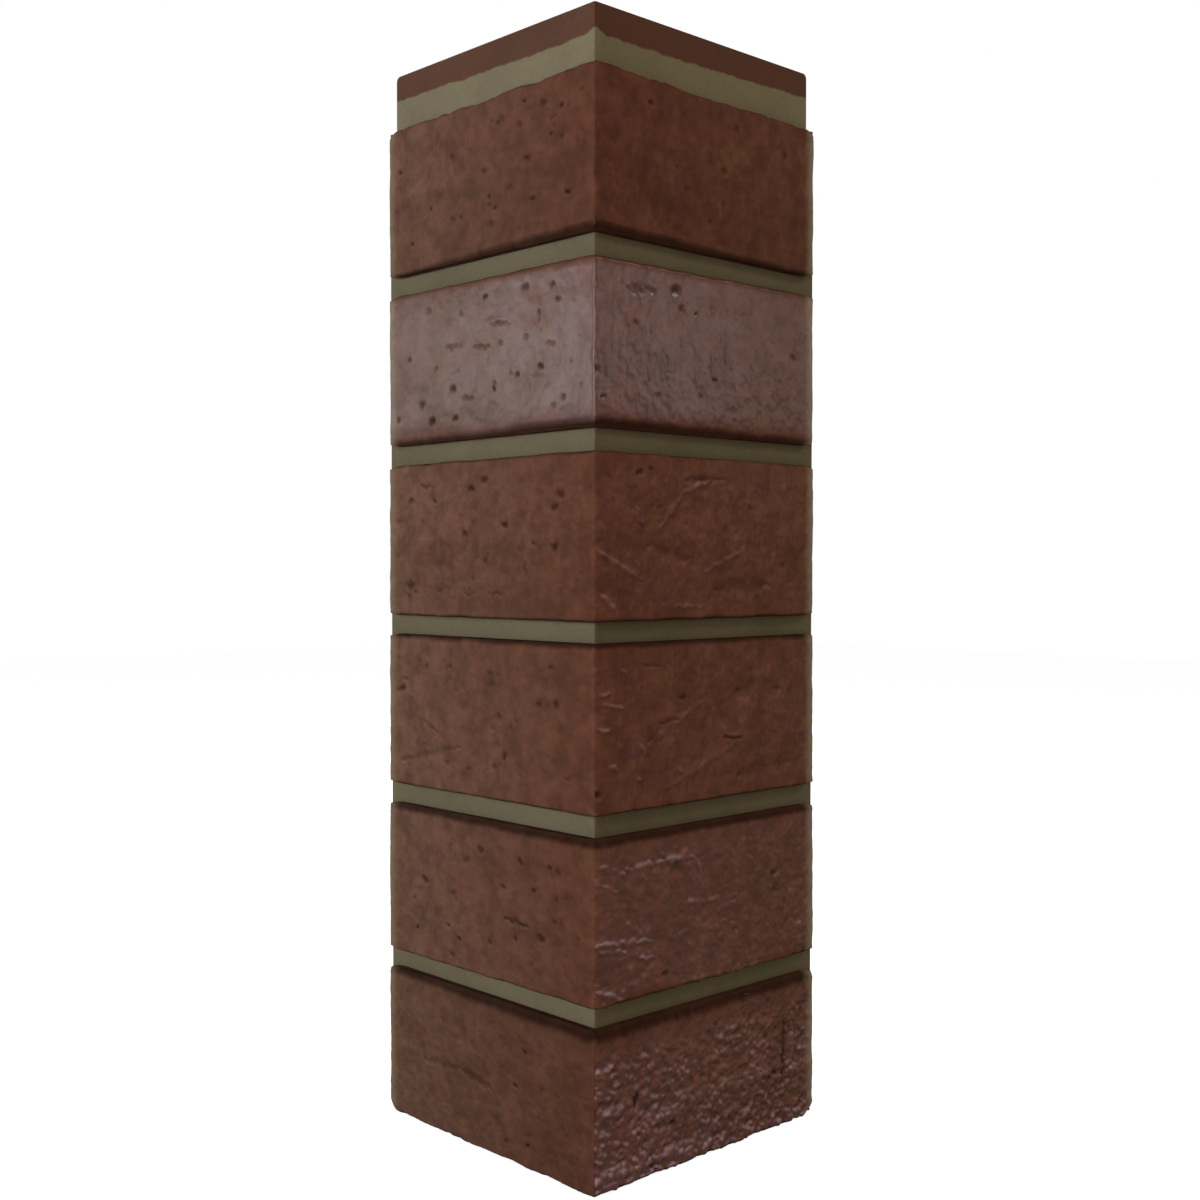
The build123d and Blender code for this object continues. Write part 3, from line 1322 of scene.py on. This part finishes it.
@dataclass
class MortarBody:
    """The mortar plate of both legs with the flange above it, open behind each course."""

    sizes: PanelSizes
    overlap: float = 1.0 * MM
    corner_sag: float = 0.5 * MM
    piece: bpy.types.Object = field(init=False)

    def build(self) -> bpy.types.Object:
        """Builds the mortar plate, its rims, its flange and the windows behind the courses.

        Returns:
            The finished object, without its paint.
        """
        sizes = self.sizes
        self.piece = add_l_block(
            "mortar_body",
            sizes.half_leg,
            sizes.relief,
            sizes.shell_depth,
            sizes.leg_length - sizes.flange_inset,
            0.0,
            sizes.total_height,
        )
        self.lower_corner()
        self.round_corners()
        self.lengthen_legs()
        self.raise_rims()
        self.cut_windows()
        self.pick_front()
        make_active(self.piece)
        bpy.ops.object.shade_smooth_by_angle(angle=math.radians(30.0))
        return self.piece

    def lower_corner(self) -> None:
        """Lets the upper edge of the flange sag a little at the corner."""
        places = points_of(self.piece)
        corner = along_at(places, self.sizes.half_leg) < self.sizes.shell_depth + SLACK
        upper = corner & (places[:, 2] > self.sizes.total_height - SLACK)
        shift_points(self.piece, upper, (0.0, 0.0, -self.corner_sag))

    def round_corners(self) -> None:
        """Rounds the arris of the mortar plate and the upper end corners of the flange."""
        sizes = self.sizes
        middles, spans = edge_lines(self.piece)
        arris = along_at(middles, sizes.half_leg) < sizes.relief + SLACK
        arris &= np.abs(spans[:, 2]) > 1.0 * MM
        edit_picked(self.piece, Domain.EDGE, arris)
        bpy.ops.mesh.bevel(offset=sizes.mortar_round, segments=3, affect="EDGES")
        leave_edit()
        middles, spans = edge_lines(self.piece)
        short = np.linalg.norm(spans, axis=1) < 2 * sizes.wall
        tip = along_at(middles, sizes.half_leg) > sizes.leg_length - sizes.flange_inset - SLACK
        upper = tip & (middles[:, 2] > sizes.total_height - SLACK) & short
        edit_picked(self.piece, Domain.EDGE, upper)
        bpy.ops.mesh.bevel(offset=sizes.flange_round, segments=5, affect="EDGES")
        leave_edit()

    def cut_across(self, place: Sequence[float], normal: Sequence[float]) -> None:
        """Cuts new edges where a plane crosses the plate.

        Args:
            place: a point of the plane.
            normal: the way that the plane faces.
        """
        edit_picked(self.piece, Domain.FACE, np.ones(len(self.piece.data.polygons), bool))
        bpy.ops.mesh.bisect(plane_co=place, plane_no=normal)
        leave_edit()

    def lengthen_legs(self) -> None:
        """Makes the legs longer than the flange, up to the top of the courses."""
        sizes = self.sizes
        self.cut_across((0.0, 0.0, sizes.body_height), (0.0, 0.0, 1.0))
        for way in (Vector((-1.0, 0.0, 0.0)), Vector((0.0, 1.0, 0.0))):
            centres = face_centres(self.piece)
            tip = sizes.leg_length - sizes.flange_inset - SLACK
            ends = face_normals(self.piece) @ np.array(way) > FACING
            ends &= along_at(centres, sizes.half_leg) > tip
            ends &= centres[:, 2] < sizes.body_height
            edit_picked(self.piece, Domain.FACE, ends)
            bpy.ops.mesh.extrude_region_move(
                TRANSFORM_OT_translate={"value": way * sizes.flange_inset, "orient_type": "GLOBAL"}
            )
            leave_edit()

    def raise_rims(self) -> None:
        """Lifts the mortar a little towards the ends of the legs."""
        sizes = self.sizes
        start = sizes.half_leg - sizes.rim_length
        self.cut_across((-start, 0.0, 0.0), (1.0, 0.0, 0.0))
        self.cut_across((0.0, start, 0.0), (0.0, 1.0, 0.0))
        places = points_of(self.piece)
        tips = along_at(places, sizes.half_leg) > sizes.leg_length - SLACK
        tips &= np.abs(depth_at(places, sizes.half_leg) - sizes.relief) < SLACK
        side = leg_at(places, sizes.half_leg)
        shift_points(self.piece, tips & ~side, (0.0, -sizes.rim_rise, 0.0))
        shift_points(self.piece, tips & side, (sizes.rim_rise, 0.0, 0.0))

    def cut_windows(self) -> None:
        """Opens the plate behind each course, and behind the lowest one down to the floor."""
        sizes = self.sizes
        window_length = sizes.leg_length - sizes.end_margin - sizes.wall
        for number in range(1, sizes.course_count + 1):
            low = sizes.course_base(number)
            self.cut(window_length, low + sizes.wall, low + sizes.brick_height - sizes.wall)
        self.cut(sizes.leg_length - sizes.wall, -self.overlap, sizes.tuck_height)

    def cut(self, length: float, low: float, high: float) -> None:
        """Cuts one L-shaped window through the plate.

        Args:
            length: how far the window reaches along the legs.
            low: its lower edge.
            high: its upper edge.
        """
        sizes = self.sizes
        front, back = sizes.relief - 2 * self.overlap, sizes.shell_depth + self.overlap
        cutter = add_l_block("window", sizes.half_leg, front, back, length, low, high)
        hole = self.piece.modifiers.new("window", "BOOLEAN")
        hole.operation = "DIFFERENCE"
        hole.solver = "EXACT"
        hole.object = cutter
        apply_modifier(self.piece, hole)
        bpy.data.objects.remove(cutter)

    def pick_front(self) -> None:
        """Puts the painted front in the first material slot and the rest in the second."""
        for _ in range(2):
            self.piece.data.materials.append(None)
        normals = face_normals(self.piece)
        depth = depth_at(face_centres(self.piece), self.sizes.half_leg)
        front = (depth < self.sizes.relief + 0.3 * MM) & ((normals[:, 1] < -0.5) | (normals[:, 0] > 0.5))
        self.piece.data.polygons.foreach_set("material_index", np.where(front, 0, 1).astype(np.int32))


def display(red: int, green: int, blue: int) -> Colour:
    """A colour as a screen shows it, from 0 to 255, in the linear values that a material takes."""
    linear = [((part / 255 + 0.055) / 1.055) ** 2.4 for part in (red, green, blue)]
    return (*linear, 1.0)


@dataclass
class NodeSheet:
    """Adds nodes to one node tree and links them."""

    tree: bpy.types.NodeTree

    def feed(self, socket: bpy.types.NodeSocket, value: object) -> None:
        """Links a socket to an input, or sets the input's own value.

        Args:
            socket: the input.
            value: a socket, or the value itself.
        """
        if isinstance(value, bpy.types.NodeSocket):
            self.tree.links.new(value, socket)
        else:
            socket.default_value = value

    def node(self, kind: str, inputs: dict[str | int, object], **settings: object) -> bpy.types.Node:
        """Adds a node.

        Args:
            kind: the node's type.
            inputs: values or sockets for its inputs.
            settings: its other settings.

        Returns:
            The new node.
        """
        node = self.tree.nodes.new(kind)
        for name, value in settings.items():
            setattr(node, name, value)
        for name, value in inputs.items():
            self.feed(node.inputs[name], value)
        return node

    def math(self, operation: str, first: object, second: object = 0.0) -> bpy.types.NodeSocket:
        """One arithmetic step on two values or sockets."""
        return self.node("ShaderNodeMath", {0: first, 1: second}, operation=operation).outputs[0]

    def times(self, first: object, second: object) -> bpy.types.NodeSocket:
        """One value or socket times another."""
        return self.math("MULTIPLY", first, second)

    def step(self, value: object, low: object, high: object) -> bpy.types.NodeSocket:
        """A smooth rise from 0 at low to 1 at high."""
        inputs = {"Value": value, "From Min": low, "From Max": high}
        return self.node("ShaderNodeMapRange", inputs, interpolation_type="SMOOTHSTEP").outputs[0]

    def range(self, value: object, low: float, high: float) -> bpy.types.NodeSocket:
        """A share from 0 to 1, spread between two values."""
        return self.node("ShaderNodeMapRange", {"Value": value, "To Min": low, "To Max": high}).outputs[0]

    def mix(self, share: object, first: object, second: object) -> bpy.types.NodeSocket:
        """Mixes two colours.

        Args:
            share: how much of the second colour there is, from 0 to 1.
            first: the first colour.
            second: the second colour.

        Returns:
            The mixed colour.
        """
        node = self.node("ShaderNodeMix", {}, data_type="RGBA")
        for socket, value in ((node.inputs[0], share), (node.inputs[6], first), (node.inputs[7], second)):
            self.feed(socket, value)
        return node.outputs[2]

    def scaled(self, colour: object, factor: object) -> bpy.types.NodeSocket:
        """A colour made lighter or darker by a factor."""
        return self.node("ShaderNodeVectorMath", {0: colour, 3: factor}, operation="SCALE").outputs[0]

    def noise(self, place: object, scale: object, detail: float = 3.0) -> bpy.types.NodeSocket:
        """Cloudy noise around 0.5 at a place."""
        inputs = {"Vector": place, "Scale": scale, "Detail": detail, "Roughness": 0.55}
        return self.node("ShaderNodeTexNoise", inputs).outputs["Fac"]

    def value_of(self, name: str) -> bpy.types.NodeSocket:
        """The number that a piece stores for each point."""
        return self.node("ShaderNodeAttribute", {}, attribute_name=name).outputs["Fac"]

    def place(self, stretch: Sequence[float] = (1.0, 1.0, 1.0)) -> bpy.types.NodeSocket:
        """The point on the object, stretched along the axes."""
        point = self.node("ShaderNodeTexCoord", {}).outputs["Object"]
        return self.node("ShaderNodeMapping", {"Vector": point, "Scale": stretch}).outputs[0]

    def group(self, tree: bpy.types.NodeTree, inputs: dict[str, object]) -> bpy.types.NodeSocket:
        """Places a node group and gives its first output."""
        return self.node("ShaderNodeGroup", inputs, node_tree=tree).outputs[0]


def new_group(
    name: str, inputs: Sequence[str], output: str
) -> tuple[NodeSheet, bpy.types.Node, bpy.types.Node]:
    """A shader node group whose inputs are numbers, except for the vector `Place`.

    Args:
        name: the group's name.
        inputs: the names of its inputs.
        output: the name of its one output, a number.

    Returns:
        A sheet for the group's nodes, its input node and its output node.
    """
    tree = bpy.data.node_groups.new(name, "ShaderNodeTree")
    for socket in inputs:
        kind = "NodeSocketVector" if socket == "Place" else "NodeSocketFloat"
        tree.interface.new_socket(name=socket, in_out="INPUT", socket_type=kind)
    tree.interface.new_socket(name=output, in_out="OUTPUT", socket_type="NodeSocketFloat")
    sheet = NodeSheet(tree)
    return sheet, sheet.node("NodeGroupInput", {}), sheet.node("NodeGroupOutput", {})


class SharedEffects:
    """The effects that more than one finish uses, each built once as a node group."""

    def __init__(self) -> None:
        """Builds the groups."""
        self.mottle = self.build_mottle()
        self.ragged_mask = self.build_ragged_mask()
        self.grain = self.build_grain()

    @staticmethod
    def build_mottle() -> bpy.types.NodeTree:
        """Builds cloudy patches with finer flecks in them, as a share from 0 to 1.

        Returns:
            The node group.
        """
        names = ("Place", "Patch Scale", "Fleck Scale", "Spread")
        sheet, given, out = new_group("paint_mottle", names, "Tone")
        patches = sheet.noise(given.outputs["Place"], given.outputs["Patch Scale"], 2.0)
        flecks = sheet.noise(given.outputs["Place"], given.outputs["Fleck Scale"], 3.0)
        blend = sheet.math("ADD", sheet.times(patches, 0.55), sheet.times(flecks, 0.45))
        low = sheet.math("SUBTRACT", 0.5, given.outputs["Spread"])
        high = sheet.math("ADD", 0.5, given.outputs["Spread"])
        sheet.feed(out.inputs[0], sheet.step(blend, low, high))
        return sheet.tree

    @staticmethod
    def build_ragged_mask() -> bpy.types.NodeTree:
        """Builds a mask that rises from 0 to 1 between two values, with an uneven outline.

        Returns:
            The node group.
        """
        names = ("Value", "Place", "Outline Scale", "Reach", "From", "To")
        sheet, given, out = new_group("ragged_mask", names, "Mask")
        noise = sheet.noise(given.outputs["Place"], given.outputs["Outline Scale"], 3.0)
        sway = sheet.times(sheet.math("SUBTRACT", noise, 0.5), given.outputs["Reach"])
        value = sheet.math("ADD", given.outputs["Value"], sway)
        sheet.feed(out.inputs[0], sheet.step(value, given.outputs["From"], given.outputs["To"]))
        return sheet.tree

    @staticmethod
    def build_grain() -> bpy.types.NodeTree:
        """Builds the height of a moulded surface's grain: soft lumps with a finer tooth on them.

        Returns:
            The node group.
        """
        names = ("Place", "Lump Scale", "Tooth Scale", "Tooth Share")
        sheet, given, out = new_group("surface_grain", names, "Height")
        lumps = sheet.noise(given.outputs["Place"], given.outputs["Lump Scale"], 2.0)
        tooth = sheet.noise(given.outputs["Place"], given.outputs["Tooth Scale"], 2.0)
        height = sheet.math("ADD", lumps, sheet.times(tooth, given.outputs["Tooth Share"]))
        sheet.feed(out.inputs[0], height)
        return sheet.tree


@dataclass
class Paint:
    """A material with its sheet of nodes and its Principled shader."""

    material: bpy.types.Material
    sheet: NodeSheet
    shader: bpy.types.Node

    @staticmethod
    def named(name: str) -> "Paint":
        """Starts a new material.

        Args:
            name: the material's name.

        Returns:
            The material with its sheet and its shader.
        """
        material = bpy.data.materials.new(name)
        material.use_nodes = True
        material.node_tree.nodes.clear()
        sheet = NodeSheet(material.node_tree)
        shader = sheet.node("ShaderNodeBsdfPrincipled", {})
        sheet.node("ShaderNodeOutputMaterial", {"Surface": shader.outputs[0]})
        return Paint(material, sheet, shader)

    def finish(
        self, colour: object, roughness: object, height: object, distance: float
    ) -> bpy.types.Material:
        """Links the colour, the roughness and the relief to the shader.

        Args:
            colour: the base colour.
            roughness: the roughness.
            height: the height of the fine relief.
            distance: how far a height of 1 stands out.

        Returns:
            The material.
        """
        bump = self.sheet.node("ShaderNodeBump", {"Height": height, "Distance": distance})
        self.sheet.feed(self.shader.inputs["Base Color"], colour)
        self.sheet.feed(self.shader.inputs["Roughness"], roughness)
        self.sheet.feed(self.shader.inputs["Normal"], bump.outputs[0])
        return self.material


@dataclass(frozen=True)
class Patches:
    """Cloudy patches: the scale and the detail of their noise, and where in it they start and are full."""

    scale: float
    detail: float
    start: float
    full: float

    def mask(self, sheet: NodeSheet, place: bpy.types.NodeSocket) -> bpy.types.NodeSocket:
        """How far each point is inside a patch, from 0 to 1."""
        return sheet.step(sheet.noise(place, self.scale, self.detail), self.start, self.full)


@dataclass(frozen=True)
class BrickPaint:
    """Satin red-brown paint on the raised brick texture, with painted shade on its ledges, worn edges and
    pits and painted highlights on its ridges and lumps.
    """

    effects: SharedEffects
    by_corner_y: Colour = display(91, 57, 43)
    by_end_y: Colour = display(107, 79, 66)
    # the leg facing +X: the brick's own colour with a warmer light painted into it
    warm_lit_corner_x: Colour = display(91, 52, 38)
    warm_lit_end_x: Colour = display(91, 57, 41)
    ochre: Colour = display(106, 74, 50)
    plum: Colour = display(96, 57, 52)
    # painted glint: the pale lavender highlight painted on lumps that lean towards the light
    painted_glint: Colour = display(154, 134, 144)
    spray: Colour = display(130, 114, 92)
    # painted shade: the darkest brown, at the roots of the ledges
    root: Colour = display(40, 28, 19)
    ochre_patches: Patches = Patches(75.0, 4.0, 0.56, 0.72)
    ochre_share: float = 0.30
    plum_patches: Patches = Patches(120.0, 3.0, 0.50, 0.66)
    plum_share: float = 0.40
    flecks: Patches = Patches(260.0, 2.0, 0.62, 0.78)
    spray_share: float = 0.90
    root_shade_share: float = 0.35
    # painted highlight on ridges, as where they catch the light
    ridge_highlight_share: float = 0.55
    ridge_highlight_tone: float = 1.4
    # painted shade in pits and grooves
    pit_shade_tone: float = 0.44
    ridge_gloss: float = 0.10
    roughness: float = 0.5
    relief: float = 0.16 * MM
    coat_roughness: float = 0.27
    specular_level: float = 0.0
    leg_run: float = 124.5

    def build(self) -> bpy.types.Material:
        """Builds the material.

        Returns:
            The material.
        """
        paint = Paint.named("brick_paint")
        sheet = paint.sheet
        place = sheet.place()
        run = sheet.math("DIVIDE", sheet.value_of("from_corner"), self.leg_run)
        facing_y = sheet.mix(run, self.by_corner_y, self.by_end_y)
        facing_x = sheet.mix(run, self.warm_lit_corner_x, self.warm_lit_end_x)
        colour = sheet.mix(sheet.value_of("facing_x"), facing_y, facing_x)
        ochre = self.ochre_patches.mask(sheet, place)
        colour = sheet.mix(sheet.times(ochre, self.ochre_share), colour, self.ochre)
        plum = self.plum_patches.mask(sheet, sheet.place((1.3, 1.3, 1.0)))
        colour = sheet.mix(sheet.times(plum, self.plum_share), colour, self.plum)
        colour = sheet.scaled(colour, self.shade(sheet, place))
        colour = self.worn(sheet, place, colour)
        # painted glints: pale highlights mixed into the colour where lumps lean towards the light
        colour = sheet.mix(sheet.value_of("painted_glint"), colour, self.painted_glint)
        gloss = sheet.range(sheet.noise(place, 130.0, 3.0), 0.55, 1.45)
        gloss = sheet.times(gloss, sheet.value_of("gloss"))
        glinting = sheet.times(sheet.value_of("raised_height"), self.ridge_gloss)
        gloss = sheet.math("ADD", gloss, sheet.times(glinting, sheet.value_of("facing_x")))
        gloss = sheet.times(gloss, sheet.range(sheet.value_of("pit_shade"), 1.0, 0.1))
        sheet.feed(paint.shader.inputs["Coat Weight"], gloss)
        paint.shader.inputs["Coat Roughness"].default_value = self.coat_roughness
        paint.shader.inputs["Specular IOR Level"].default_value = self.specular_level
        streaks = sheet.noise(sheet.place((1.0, 1.0, 0.14)), 620.0, 2.0)
        grain = {"Place": place, "Lump Scale": 480.0, "Tooth Scale": 1300.0, "Tooth Share": 0.35}
        streaks = sheet.times(streaks, 0.6)
        height = sheet.math("ADD", sheet.group(self.effects.grain, grain), streaks)
        return paint.finish(colour, self.roughness, height, self.relief)

    def shade(self, sheet: NodeSheet, place: bpy.types.NodeSocket) -> bpy.types.NodeSocket:
        """How much lighter or darker than its paint each point is: by tone, mottle, streaks and flecks, and
        by painted light and shade where the face leans up or down.

        Args:
            sheet: where the nodes go.
            place: the point on the object.

        Returns:
            A factor for the colour.
        """
        mottle = {"Place": place, "Patch Scale": 95.0, "Fleck Scale": 250.0, "Spread": 0.16}
        tone = sheet.range(sheet.group(self.effects.mottle, mottle), 0.82, 1.18)
        # painted light and shade from how far the face leans up or down
        tone = sheet.times(tone, sheet.range(sheet.value_of("painted_top_light"), 0.5, 1.5))
        streaks = sheet.noise(sheet.place((1.0, 1.0, 0.16)), 330.0, 3.0)
        tone = sheet.times(tone, sheet.range(streaks, 0.90, 1.10))
        tone = sheet.times(tone, sheet.range(self.flecks.mask(sheet, place), 1.0, 0.75))
        return sheet.times(tone, sheet.value_of("tone"))

    def worn(
        self, sheet: NodeSheet, place: bpy.types.NodeSocket, colour: bpy.types.NodeSocket
    ) -> bpy.types.NodeSocket:
        """The paint with painted shade on its ledges, worn edges and pits, a painted highlight on its ridges
        and the mortar spray at the ends.

        Args:
            sheet: where the nodes go.
            place: the point on the object.
            colour: the colour of the face.

        Returns:
            The colour.
        """
        mask = self.effects.ragged_mask
        pits = {
            "Value": sheet.value_of("pit_shade"), "Place": place,
            "Outline Scale": 700.0, "Reach": 0.25, "From": 0.02, "To": 0.90,
        }
        ledges = {
            "Value": sheet.value_of("ledge"), "Place": place,
            "Outline Scale": 200.0, "Reach": 0.3, "From": 0.10, "To": 1.60,
        }
        ends = {
            "Value": sheet.value_of("from_end"), "Place": place,
            "Outline Scale": 300.0, "Reach": 3.0, "From": 0.0, "To": 7.5,
        }
        # painted highlight: ridges painted lighter, as where they catch the light
        ridges = sheet.times(sheet.value_of("raised_height"), self.ridge_highlight_share)
        colour = sheet.mix(ridges, colour, sheet.scaled(colour, self.ridge_highlight_tone))
        sprayed = sheet.math("SUBTRACT", 1.0, sheet.group(mask, ends))
        colour = sheet.mix(sheet.times(sprayed, self.spray_share), colour, self.spray)
        # painted shade in pits and grooves
        colour = sheet.mix(sheet.group(mask, pits), colour, sheet.scaled(colour, self.pit_shade_tone))
        # painted shade on ledges and worn edges, darkest towards their roots
        sheltered = sheet.times(sheet.group(mask, ledges), sheet.range(sprayed, 1.0, 0.2))
        root = sheet.range(sheet.step(sheet.value_of("ledge"), 1.8, 3.6), 0.36, 0.70)
        dark = sheet.mix(self.root_shade_share, sheet.scaled(colour, root), self.root)
        return sheet.mix(sheltered, colour, dark)


@dataclass(frozen=True)
class MortarPaint:
    """Matt olive-grey mortar paint, with the brown tuck band along the top of the flange, painted shade in
    the joints, and painted shade and warmer light on the leg facing +X.
    """

    effects: SharedEffects
    sizes: PanelSizes
    mortar_y: Colour = display(119, 111, 88)
    # the leg facing +X: mortar and band colours darker and warmer, partly their own colour, partly painted
    # shade and warmer light
    warm_shaded_mortar_x: Colour = display(101, 89, 62)
    band_y: Colour = display(88, 61, 49)
    warm_shaded_band_x: Colour = display(73, 42, 27)
    band_height: float = 11.2 * MM
    band_peak: float = 2.2 * MM
    band_climb: float = 1.6 * MM
    joint_shade_y: float = 0.74
    joint_shade_x: float = 0.70
    roughness: float = 0.75
    relief: float = 0.14 * MM
    specular_level: float = 0.05

    def build(self) -> bpy.types.Material:
        """Builds the material.

        Returns:
            The material.
        """
        paint = Paint.named("mortar_paint")
        sheet = paint.sheet
        place = sheet.place()
        normal = sheet.node("ShaderNodeTexCoord", {}).outputs["Normal"]
        facing_x = sheet.step(sheet.node("ShaderNodeSeparateXYZ", {0: normal}).outputs[0], 0.3, 0.8)
        point = sheet.node("ShaderNodeSeparateXYZ", {0: place}).outputs
        height = point[2]
        in_joint = sheet.step(height, self.sizes.body_height + 0.5 * MM, self.sizes.body_height)
        on_y = sheet.math("SUBTRACT", self.sizes.half_leg, point[0])
        along = sheet.math("MAXIMUM", on_y, sheet.math("ADD", self.sizes.half_leg, point[1]))
        peak = sheet.times(sheet.step(along, 11.0 * MM, 4.0 * MM), self.band_peak)
        climb = sheet.times(sheet.step(along, 40.0 * MM, 125.0 * MM), self.band_climb)
        peak = sheet.math("ADD", peak, climb)
        shadow = sheet.range(facing_x, 1.0 - self.joint_shade_y, 1.0 - self.joint_shade_x)
        joint_shade = sheet.math("SUBTRACT", 1.0, sheet.times(in_joint, shadow))
        mottle = {"Place": place, "Patch Scale": 45.0, "Fleck Scale": 520.0, "Spread": 0.2}
        tone = sheet.range(sheet.group(self.effects.mottle, mottle), 0.91, 1.09)
        mortar = sheet.mix(facing_x, self.mortar_y, self.warm_shaded_mortar_x)
        mortar = sheet.scaled(mortar, sheet.times(tone, joint_shade))
        band = sheet.scaled(sheet.mix(facing_x, self.band_y, self.warm_shaded_band_x), tone)
        line = self.sizes.total_height - self.band_height
        edge = {
            "Value": sheet.math("SUBTRACT", height, peak), "Place": place, "Outline Scale": 150.0,
            "Reach": 2.6 * MM, "From": line - 0.5 * MM, "To": line + 0.5 * MM,
        }
        colour = sheet.mix(sheet.group(self.effects.ragged_mask, edge), mortar, band)
        paint.shader.inputs["Specular IOR Level"].default_value = self.specular_level
        grain = {"Place": place, "Lump Scale": 300.0, "Tooth Scale": 1500.0, "Tooth Share": 0.4}
        return paint.finish(colour, self.roughness, sheet.group(self.effects.grain, grain), self.relief)


@dataclass(frozen=True)
class MouldedPlastic:
    """The bare dark plastic of the inside."""

    effects: SharedEffects
    light: Colour = display(66, 46, 37)
    dark: Colour = display(54, 37, 30)
    roughness: float = 0.5
    relief: float = 0.08 * MM

    def build(self) -> bpy.types.Material:
        """Builds the material.

        Returns:
            The material.
        """
        paint = Paint.named("moulded_plastic")
        sheet = paint.sheet
        place = sheet.place()
        mottle = {"Place": place, "Patch Scale": 30.0, "Fleck Scale": 300.0, "Spread": 0.25}
        colour = sheet.mix(sheet.group(self.effects.mottle, mottle), self.dark, self.light)
        grain = {"Place": place, "Lump Scale": 250.0, "Tooth Scale": 1800.0, "Tooth Share": 0.6}
        return paint.finish(colour, self.roughness, sheet.group(self.effects.grain, grain), self.relief)


@dataclass(frozen=True)
class SoftLight:
    """A rectangular soft light that looks at the panel, out of the camera's sight."""

    name: str
    place: tuple[float, float, float]
    wide: float
    tall: float
    radiance: float
    aim_height: float = 0.21

    def add(self) -> None:
        """Adds the light."""
        data = bpy.data.lights.new(self.name, "AREA")
        data.shape = "RECTANGLE"
        data.size, data.size_y = self.wide, self.tall
        data.energy = self.radiance * math.pi * self.wide * self.tall
        light = bpy.data.objects.new(self.name, data)
        light.location = self.place
        light.visible_camera = False
        aim = Vector((0.0, 0.0, self.aim_height)) - Vector(self.place)
        light.rotation_euler = aim.to_track_quat("-Z", "Y").to_euler()
        bpy.context.scene.collection.objects.link(light)


@dataclass(frozen=True)
class Studio:
    """A white floor and backdrop, a key light near the camera and a sheen light on each side."""

    floor_size: float = 6.0
    floor_glow: float = 0.82
    ambient: float = 0.20
    lights: tuple[SoftLight, ...] = (
        SoftLight("key_light", (0.56, -1.49, 0.36), 0.8, 0.8, 8.0),
        SoftLight("left_sheen", (-0.85, -0.78, 0.44), 0.50, 0.18, 4.5),
        SoftLight("right_sheen", (0.81, 0.83, 0.46), 0.50, 0.22, 2.5),
        SoftLight("right_glint", (0.72, 0.76, 0.95), 0.36, 0.28, 16.0),
        SoftLight("back_fill", (-1.10, 1.10, 0.60), 0.8, 0.8, 3.0),
    )

    def build(self) -> None:
        """Adds the floor, the lights and the world."""
        self.add_floor()
        for light in self.lights:
            light.add()
        self.add_world()

    @staticmethod
    def seen(sheet: NodeSheet) -> bpy.types.NodeSocket:
        """Tells the rays that show the surroundings from the rays that light the panel.

        Args:
            sheet: where the nodes go.

        Returns:
            1 for a ray that shows the surroundings, straight or in a reflection, and 0 for one that lights.
        """
        path = sheet.node("ShaderNodeLightPath", {})
        seen = sheet.math("MAXIMUM", path.outputs["Is Camera Ray"], path.outputs["Is Glossy Ray"])
        return sheet.math("MAXIMUM", seen, path.outputs["Is Transmission Ray"])

    def add_floor(self) -> None:
        """Adds the floor that the panel stands on, which looks white and keeps a soft shadow."""
        deselect_all()
        bpy.ops.mesh.primitive_plane_add(size=self.floor_size, location=(0.0, 0.0, -0.05 * MM))
        floor = bpy.context.object
        floor.name = "floor"
        paint = Paint.named("floor_white")
        paint.shader.inputs["Base Color"].default_value = (0.8, 0.8, 0.8, 1.0)
        paint.shader.inputs["Roughness"].default_value = 0.9
        paint.shader.inputs["Specular IOR Level"].default_value = 0.0
        paint.shader.inputs["Emission Color"].default_value = (1.0, 1.0, 1.0, 1.0)
        glow = paint.sheet.times(self.seen(paint.sheet), self.floor_glow)
        paint.sheet.feed(paint.shader.inputs["Emission Strength"], glow)
        floor.data.materials.append(paint.material)

    def add_world(self) -> None:
        """Makes the world white to the camera and in reflections, and a soft grey light to the panel."""
        world = bpy.data.worlds.new("studio")
        world.use_nodes = True
        bpy.context.scene.world = world
        world.node_tree.nodes.clear()
        sheet = NodeSheet(world.node_tree)
        strength = sheet.range(self.seen(sheet), self.ambient, 1.0)
        white = sheet.node("ShaderNodeBackground", {"Color": (1.0, 1.0, 1.0, 1.0), "Strength": strength})
        sheet.node("ShaderNodeOutputWorld", {"Surface": white.outputs[0]})


def dress(piece: bpy.types.Object, materials: Sequence[bpy.types.Material]) -> None:
    """Paints a piece and tells the frame what it stands for.

    Args:
        piece: the finished piece, whose faces point at their material slots.
        materials: the materials of the slots, in order.
    """
    for index, material in enumerate(materials):
        piece.material_slots[index].material = material
    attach(piece, "root")
    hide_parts(CAD_NODE)
    log.info("%s: %d faces", piece.name, len(piece.data.polygons))


def main() -> None:
    """Builds the panel, its light and its camera."""
    logging.basicConfig(level=logging.INFO, format="%(message)s")
    _, highest = CAD_BOX
    sizes = PanelSizes(half_leg=highest[0], total_height=highest[2])
    photo = PhotoFrame(sizes)
    photo.add_camera()
    effects = SharedEffects()
    plastic = MouldedPlastic(effects).build()
    brick_paint = BrickPaint(effects).build()
    mortar_paint = MortarPaint(effects, sizes).build()
    for number in range(1, sizes.course_count + 1):
        dress(BrickCourse(sizes, number).build(photo), (brick_paint, plastic))
    dress(MortarBody(sizes).build(), (mortar_paint, plastic))
    Studio().build()
    bpy.context.scene.view_settings.view_transform = "Standard"


if __name__ == "__main__":
    main()
